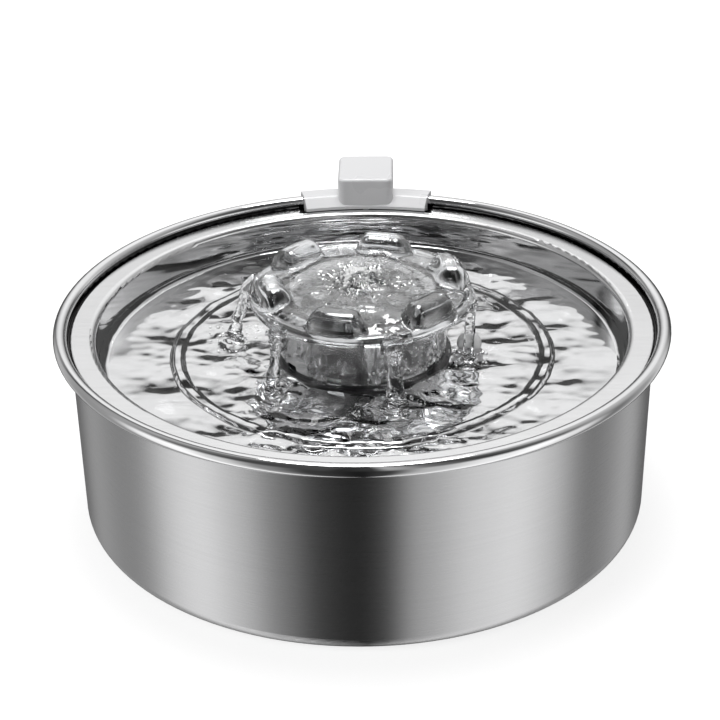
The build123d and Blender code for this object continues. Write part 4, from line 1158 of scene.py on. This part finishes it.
class FOUNTAIN_OT_sheet(bpy.types.Operator):
    """Water that wells up from the nozzle and runs over the cap's petals"""

    bl_idname = "fountain.sheet"
    bl_label = "Water on the Cap"

    def execute(self, context):
        sizes = context.scene.fountain_sizes
        turn = np.linspace(0, math.tau, 420, endpoint=False)[:, None]
        rim_middle = sizes.cap_radius - sizes.cap_rim
        rim_height = sizes.cap_plate + sizes.cap_wall / 2
        radius = np.linspace(0, rim_middle, 84)
        grid = radius + 0 * turn
        overlap = 0.15 * MM
        cap = cap_top(sizes, grid, turn)
        surface, under = self.surface(sizes, grid, turn, cap - overlap)
        nose = np.radians(np.linspace(90, -50, 12)[1:])
        shoulder = petal_shape(sizes, rim_middle + sizes.cap_rim * np.cos(nose) + 0 * turn, turn)
        shoulder = shoulder * np.clip(np.sin(nose), 0, 1)
        in_gap = 0.5 - 0.5 * np.cos(PETALS * (turn - sizes.petal_phase))
        cover = sizes.film + 1.1 * MM * in_gap**2 + 0 * nose
        taper = np.clip((nose - nose[-1]) / math.radians(40), 0.15, 1)
        outer = sizes.cap_rim + cover * taper
        inner = sizes.cap_rim - overlap
        nose_r = rim_middle + outer * np.cos(nose)
        nose_z = rim_height + outer * np.sin(nose) + shoulder
        back_r = (rim_middle + inner * np.cos(nose) + 0 * turn)[:, ::-1]
        back_z = (rim_height + inner * np.sin(nose) + shoulder)[:, ::-1]
        all_r = np.concatenate([grid, nose_r, back_r, grid[:, ::-1]], axis=1)
        all_z = np.concatenate([surface, nose_z, back_z, under[:, ::-1]], axis=1)
        water = clear_water("sheet_water", depth=0.006, coat=1.0)
        sheet = wrapped_mesh("cap_water", all_r, turn, all_z, water)
        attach(sheet, "cap")
        return {"FINISHED"}

    def surface(self, sizes, grid, turn, under):
        """Upper and lower side of the sheet inside the rim. It reaches a little into the cap that it wets."""
        chop_height, chop_in_middle, swell_height, film_chop = 0.5, 0.7, 2.3 * MM, 0.05 * MM
        middle_radius, fade_width, rim_reach, rim_drop = 24 * MM, 17 * MM, 1.5 * MM, 1.0 * MM
        plate = sizes.cap_plate + sizes.cap_wall
        rim_middle = sizes.cap_radius - sizes.cap_rim
        x, y = grid * np.cos(turn), grid * np.sin(turn)
        chop = fractal(x, y, 0 * x + 3.0, 165.0, 3, 0.6)
        swell = fractal(x, y, 0 * x + 5.0, 55.0, 2, 1.0)
        mound = MOUND_HEIGHT * MM * np.exp(-((grid / (MOUND_RADIUS * MM)) ** 2)) * (1 + 0.3 * chop)
        middle = np.exp(-((grid / middle_radius) ** 2))
        rough = (chop_height + chop_in_middle * middle) * MM * chop
        level = WATER_ON_CAP * MM + rough + swell_height * swell + mound
        fade = 1 - (1 - np.clip((rim_middle + rim_reach - grid) / fade_width, 0, 1)) ** 2
        level = plate - rim_drop + (level + rim_drop) * fade
        film = cap_top(sizes, grid, turn) + sizes.film + film_chop * chop
        over_nozzle = grid < sizes.nozzle_radius - 0.3 * MM
        under = np.where(over_nozzle, under + sizes.nozzle_height, under)
        return smooth_max(film, level, 0.8 * MM), under


class FOUNTAIN_OT_streams(bpy.types.Operator):
    """Strands that fall from between the petals into the pool"""

    bl_idname = "fountain.streams"
    bl_label = "Falling Streams"

    def execute(self, context):
        sizes = context.scene.fountain_sizes
        curve = bpy.data.curves.new("strands", "CURVE")
        curve.dimensions = "3D"
        draw = random.Random(7)
        for gap in range(PETALS):
            for strand in range(4):
                self.add_strand(curve, sizes, gap, strand, draw)
        tree, entry = geometry_tree("strand_tree", [("Material", "NodeSocketMaterial", None)])
        even = node(tree, "GeometryNodeResampleCurve", {"Curve": entry["Geometry"], "Count": 70}).outputs[0]
        ring = node(tree, "GeometryNodeCurvePrimitiveCircle", {"Resolution": 14, "Radius": 1.0}).outputs[0]
        radius = node(tree, "GeometryNodeInputRadius").outputs[0]
        inputs = {"Curve": even, "Profile Curve": ring, "Scale": radius, "Fill Caps": True}
        tube = node(tree, "GeometryNodeCurveToMesh", inputs).outputs[0]
        close_tree(tree, jittered(tree, tube, 170.0, 2.0, 3.0 * MM), entry["Material"])
        water = clear_water("stream_water", depth=0.01)
        strands = grown("strands", curve, tree, {"Material": water})
        beads = scattered("stream_beads", self.beads(sizes, draw), water, detail=3)
        streams = skinned(joined("streams", [strands, beads]), 0.42 * MM, 2)
        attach(streams, "cap")
        return {"FINISHED"}

    def fall(self, sizes, gap, share):
        """Point on the middle line of a stream: it leaves the rim level, and falls ever more steeply."""
        start = sizes.cap_radius - 0.6 * MM
        high, low = sizes.cap_plate + 1.6 * MM, sizes.water_level - 1.2 * MM
        bulge, bulge_share = 2.2 * MM, 1 / 2.2
        reach, turn = landing(sizes, gap)
        side = gap_direction(sizes, gap) + (turn - gap_direction(sizes, gap)) * share
        out = bulge * math.sin(math.pi * min(share / bulge_share, 1.0)) * (1 if reach > start else 0.3)
        return start + (reach - start) * share + out, side, high + (low - high) * share**1.6

    def add_strand(self, curve, sizes, gap, strand, draw):
        """One strand of a stream: the first is the thick one, and the others weave round it."""
        steps, turns, between = 16, 6.0, 2.1
        thickness = STREAMS[gap][2] * sizes.stream_radius
        spline = curve.splines.new("POLY")
        spline.points.add(steps)
        phase, swing = draw.uniform(0, math.tau), draw.uniform(0.7, 1.5) * MM if strand else 0.0
        fineness = 1.0 if strand == 0 else draw.uniform(0.28, 0.5)
        for index, point in enumerate(spline.points):
            share = index / steps
            radius, side, height = self.fall(sizes, gap, share)
            weave = phase + share * turns + strand * between
            radius += swing * (1.6 - share) * math.cos(weave)
            side += swing * (1.9 - share) * math.sin(weave) / radius
            root, foot, beat = 0.75 * (1 - share) ** 5, 0.75 * share**9, 0.12 * math.sin(9.0 * share + phase)
            point.co = (*polar(radius, side, height), 1.0)
            point.radius = thickness * fineness * (1.0 + root + foot - beat)

    def beads(self, sizes, draw):
        """Drops that gather where the stream leaves the rim, and some that have left it."""
        count, rim_share, spread_out, spread_aside = 12, 0.2, 1.7, 2.4
        places = []
        for gap in range(PETALS):
            for _ in range(count):
                share = draw.choice((draw.uniform(0, rim_share), draw.uniform(rim_share, 1.0)))
                radius, side, height = self.fall(sizes, gap, share)
                radius += draw.gauss(0, spread_out) * MM
                side += draw.gauss(0, spread_aside) * MM / radius
                size = draw.uniform(0.55, 1.35) * MM
                shape = (size, size, size * draw.uniform(0.9, 1.5))
                places.append((polar(radius, side, height), shape, (0.0, 0.0, 0.0)))
        return places


class FOUNTAIN_OT_drops(bpy.types.Operator):
    """Froth on the nozzle, splashes where the streams land, beads on the pedestal, and a floating bubble"""

    bl_idname = "fountain.drops"
    bl_label = "Froth, Splashes and Drops"

    def execute(self, context):
        sizes = context.scene.fountain_sizes
        draw = random.Random(23)
        water = clear_water("drop_water", depth=0.002)
        froth = clear_water("froth", depth=0.002, transmission=0.3)
        for name, places, finish, body in (
            ("nozzle_froth", self.froth(sizes, draw), froth, "cap"),
            ("splash_drops", self.splashes(sizes, draw), water, "tray"),
            ("pedestal_beads", self.pedestal_beads(sizes, draw), froth, "pedestal"),
        ):
            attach(scattered(name, places, finish), body)
        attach(self.bubble(sizes, clear_water("bubble_skin", transmission=0.5)), "tray")
        return {"FINISHED"}

    def froth(self, sizes, draw):
        """Bubbles that crowd over the mound above the nozzle."""
        count, spread = 260, 7.5
        shift_x, shift_y = -1.5 * MM, 4 * MM
        plate = sizes.cap_plate + sizes.cap_wall
        places = []
        for _ in range(count):
            radius = abs(draw.gauss(0, spread)) * MM
            turn = draw.uniform(0, math.tau)
            crest = (WATER_ON_CAP + MOUND_HEIGHT * math.exp(-((radius / (MOUND_RADIUS * MM)) ** 2))) * MM
            size = draw.uniform(0.35, 1.15) * MM
            top = min(plate + crest + draw.uniform(-0.6, 0.7) * MM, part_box("fountain_cap")[1].z - size)
            shape = (size * draw.uniform(0.8, 1.3), size, size)
            x, y = radius * math.cos(turn) + shift_x, radius * math.sin(turn) + shift_y
            places.append(((x, y, top), shape, (0.0, 0.0, turn)))
        return places

    def splashes(self, sizes, draw):
        """Drops thrown up round each landing, and bubbles that float there."""
        count, spread, nearest, low_reach = 26, 6.0, 2.2 * MM, 9 * MM
        float_lift, every, clear_of_wall = 0.1 * MM, 3, 1.5 * MM
        places = []
        for gap in range(PETALS):
            reach, turn = landing(sizes, gap)
            for index in range(count):
                away, side = abs(draw.gauss(0, spread)) * MM + nearest, draw.uniform(0, math.tau)
                size = draw.uniform(0.35, 1.0) * MM
                thrown = index % every == 0
                lift = draw.uniform(0.5, 6.5) * MM * math.exp(-away / low_reach) if thrown else float_lift
                x = reach * math.cos(turn) + away * math.cos(side)
                y = reach * math.sin(turn) + away * math.sin(side)
                if math.hypot(x, y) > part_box("pedestal")[1].x + clear_of_wall:
                    shape = (size, size, size * draw.uniform(0.7, 1.2))
                    places.append(((x, y, sizes.water_level + lift), shape, (0.0, 0.0, 0.0)))
        return places

    def pedestal_beads(self, sizes, draw):
        """Beads that cling to the pedestal's wall, thickest at its right."""
        count, direction, spread = 90, -40, 22
        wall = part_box("pedestal")[1].x
        places = []
        for _ in range(count):
            turn = math.radians(draw.gauss(direction, spread))
            height = draw.uniform(sizes.water_level + 2 * MM, sizes.cap_plate - 3 * MM)
            height -= (height - sizes.water_level) * draw.uniform(0, 0.6)
            size = draw.uniform(0.3, 1.0) ** 1.5 * MM
            places.append((polar(wall, turn, height), (0.55 * size, size, size), (0.0, 0.0, turn)))
        return places

    def bubble(self, sizes, water):
        """Thin dome on the water."""
        reach, turn = BUBBLE_PLACE[0] * MM, math.radians(BUBBLE_PLACE[1])
        around = np.linspace(0, math.tau, 48, endpoint=False)[:, None]
        rise = np.radians(np.linspace(90, -12, 16))
        outer, inner = sizes.bubble_radius, sizes.bubble_radius - 0.6 * MM
        radius = np.concatenate([outer * np.cos(rise), (inner * np.cos(rise))[::-1]])
        height = sizes.water_level + np.concatenate([outer * np.sin(rise), (inner * np.sin(rise))[::-1]])
        return wrapped_mesh("bubble", radius, around, height, water, middle=polar(reach, turn, 0.0))


PIECES = [
    FOUNTAIN_OT_stage,
    FOUNTAIN_OT_steel,
    FOUNTAIN_OT_cap,
    FOUNTAIN_OT_rim,
    FOUNTAIN_OT_filter,
    FOUNTAIN_OT_pump,
    FOUNTAIN_OT_pool,
    FOUNTAIN_OT_sheet,
    FOUNTAIN_OT_streams,
    FOUNTAIN_OT_drops,
]
GROUPS = {
    "fountain_sizes": FountainSizes,
    "fountain_colours": FountainColours,
    "fountain_studio": FountainStudio,
}


class FOUNTAIN_PT_panel(bpy.types.Panel):
    """Lists the pieces of the fountain with their sizes and colours"""

    bl_idname = "FOUNTAIN_PT_panel"
    bl_label = "Pet Water Fountain"
    bl_space_type = "VIEW_3D"
    bl_region_type = "UI"
    bl_category = "Fountain"

    def draw(self, context):
        layout = self.layout
        for piece in PIECES:
            layout.operator(piece.bl_idname)
        for name, group in GROUPS.items():
            column = layout.box().column()
            for key in group.__annotations__:
                column.prop(getattr(context.scene, name), key)


def register():
    for group in GROUPS.values():
        bpy.utils.register_class(group)
    for piece in PIECES:
        bpy.utils.register_class(piece)
    bpy.utils.register_class(FOUNTAIN_PT_panel)
    for name, group in GROUPS.items():
        setattr(bpy.types.Scene, name, PointerProperty(type=group))


def unregister():
    for name in GROUPS:
        delattr(bpy.types.Scene, name)
    bpy.utils.unregister_class(FOUNTAIN_PT_panel)
    for piece in reversed(PIECES):
        bpy.utils.unregister_class(piece)
    for group in GROUPS.values():
        bpy.utils.unregister_class(group)


def main():
    """Makes every piece."""
    register()
    for piece in PIECES:
        family, name = piece.bl_idname.split(".")
        getattr(getattr(bpy.ops, family), name)()


if __name__ == "__main__":
    main()
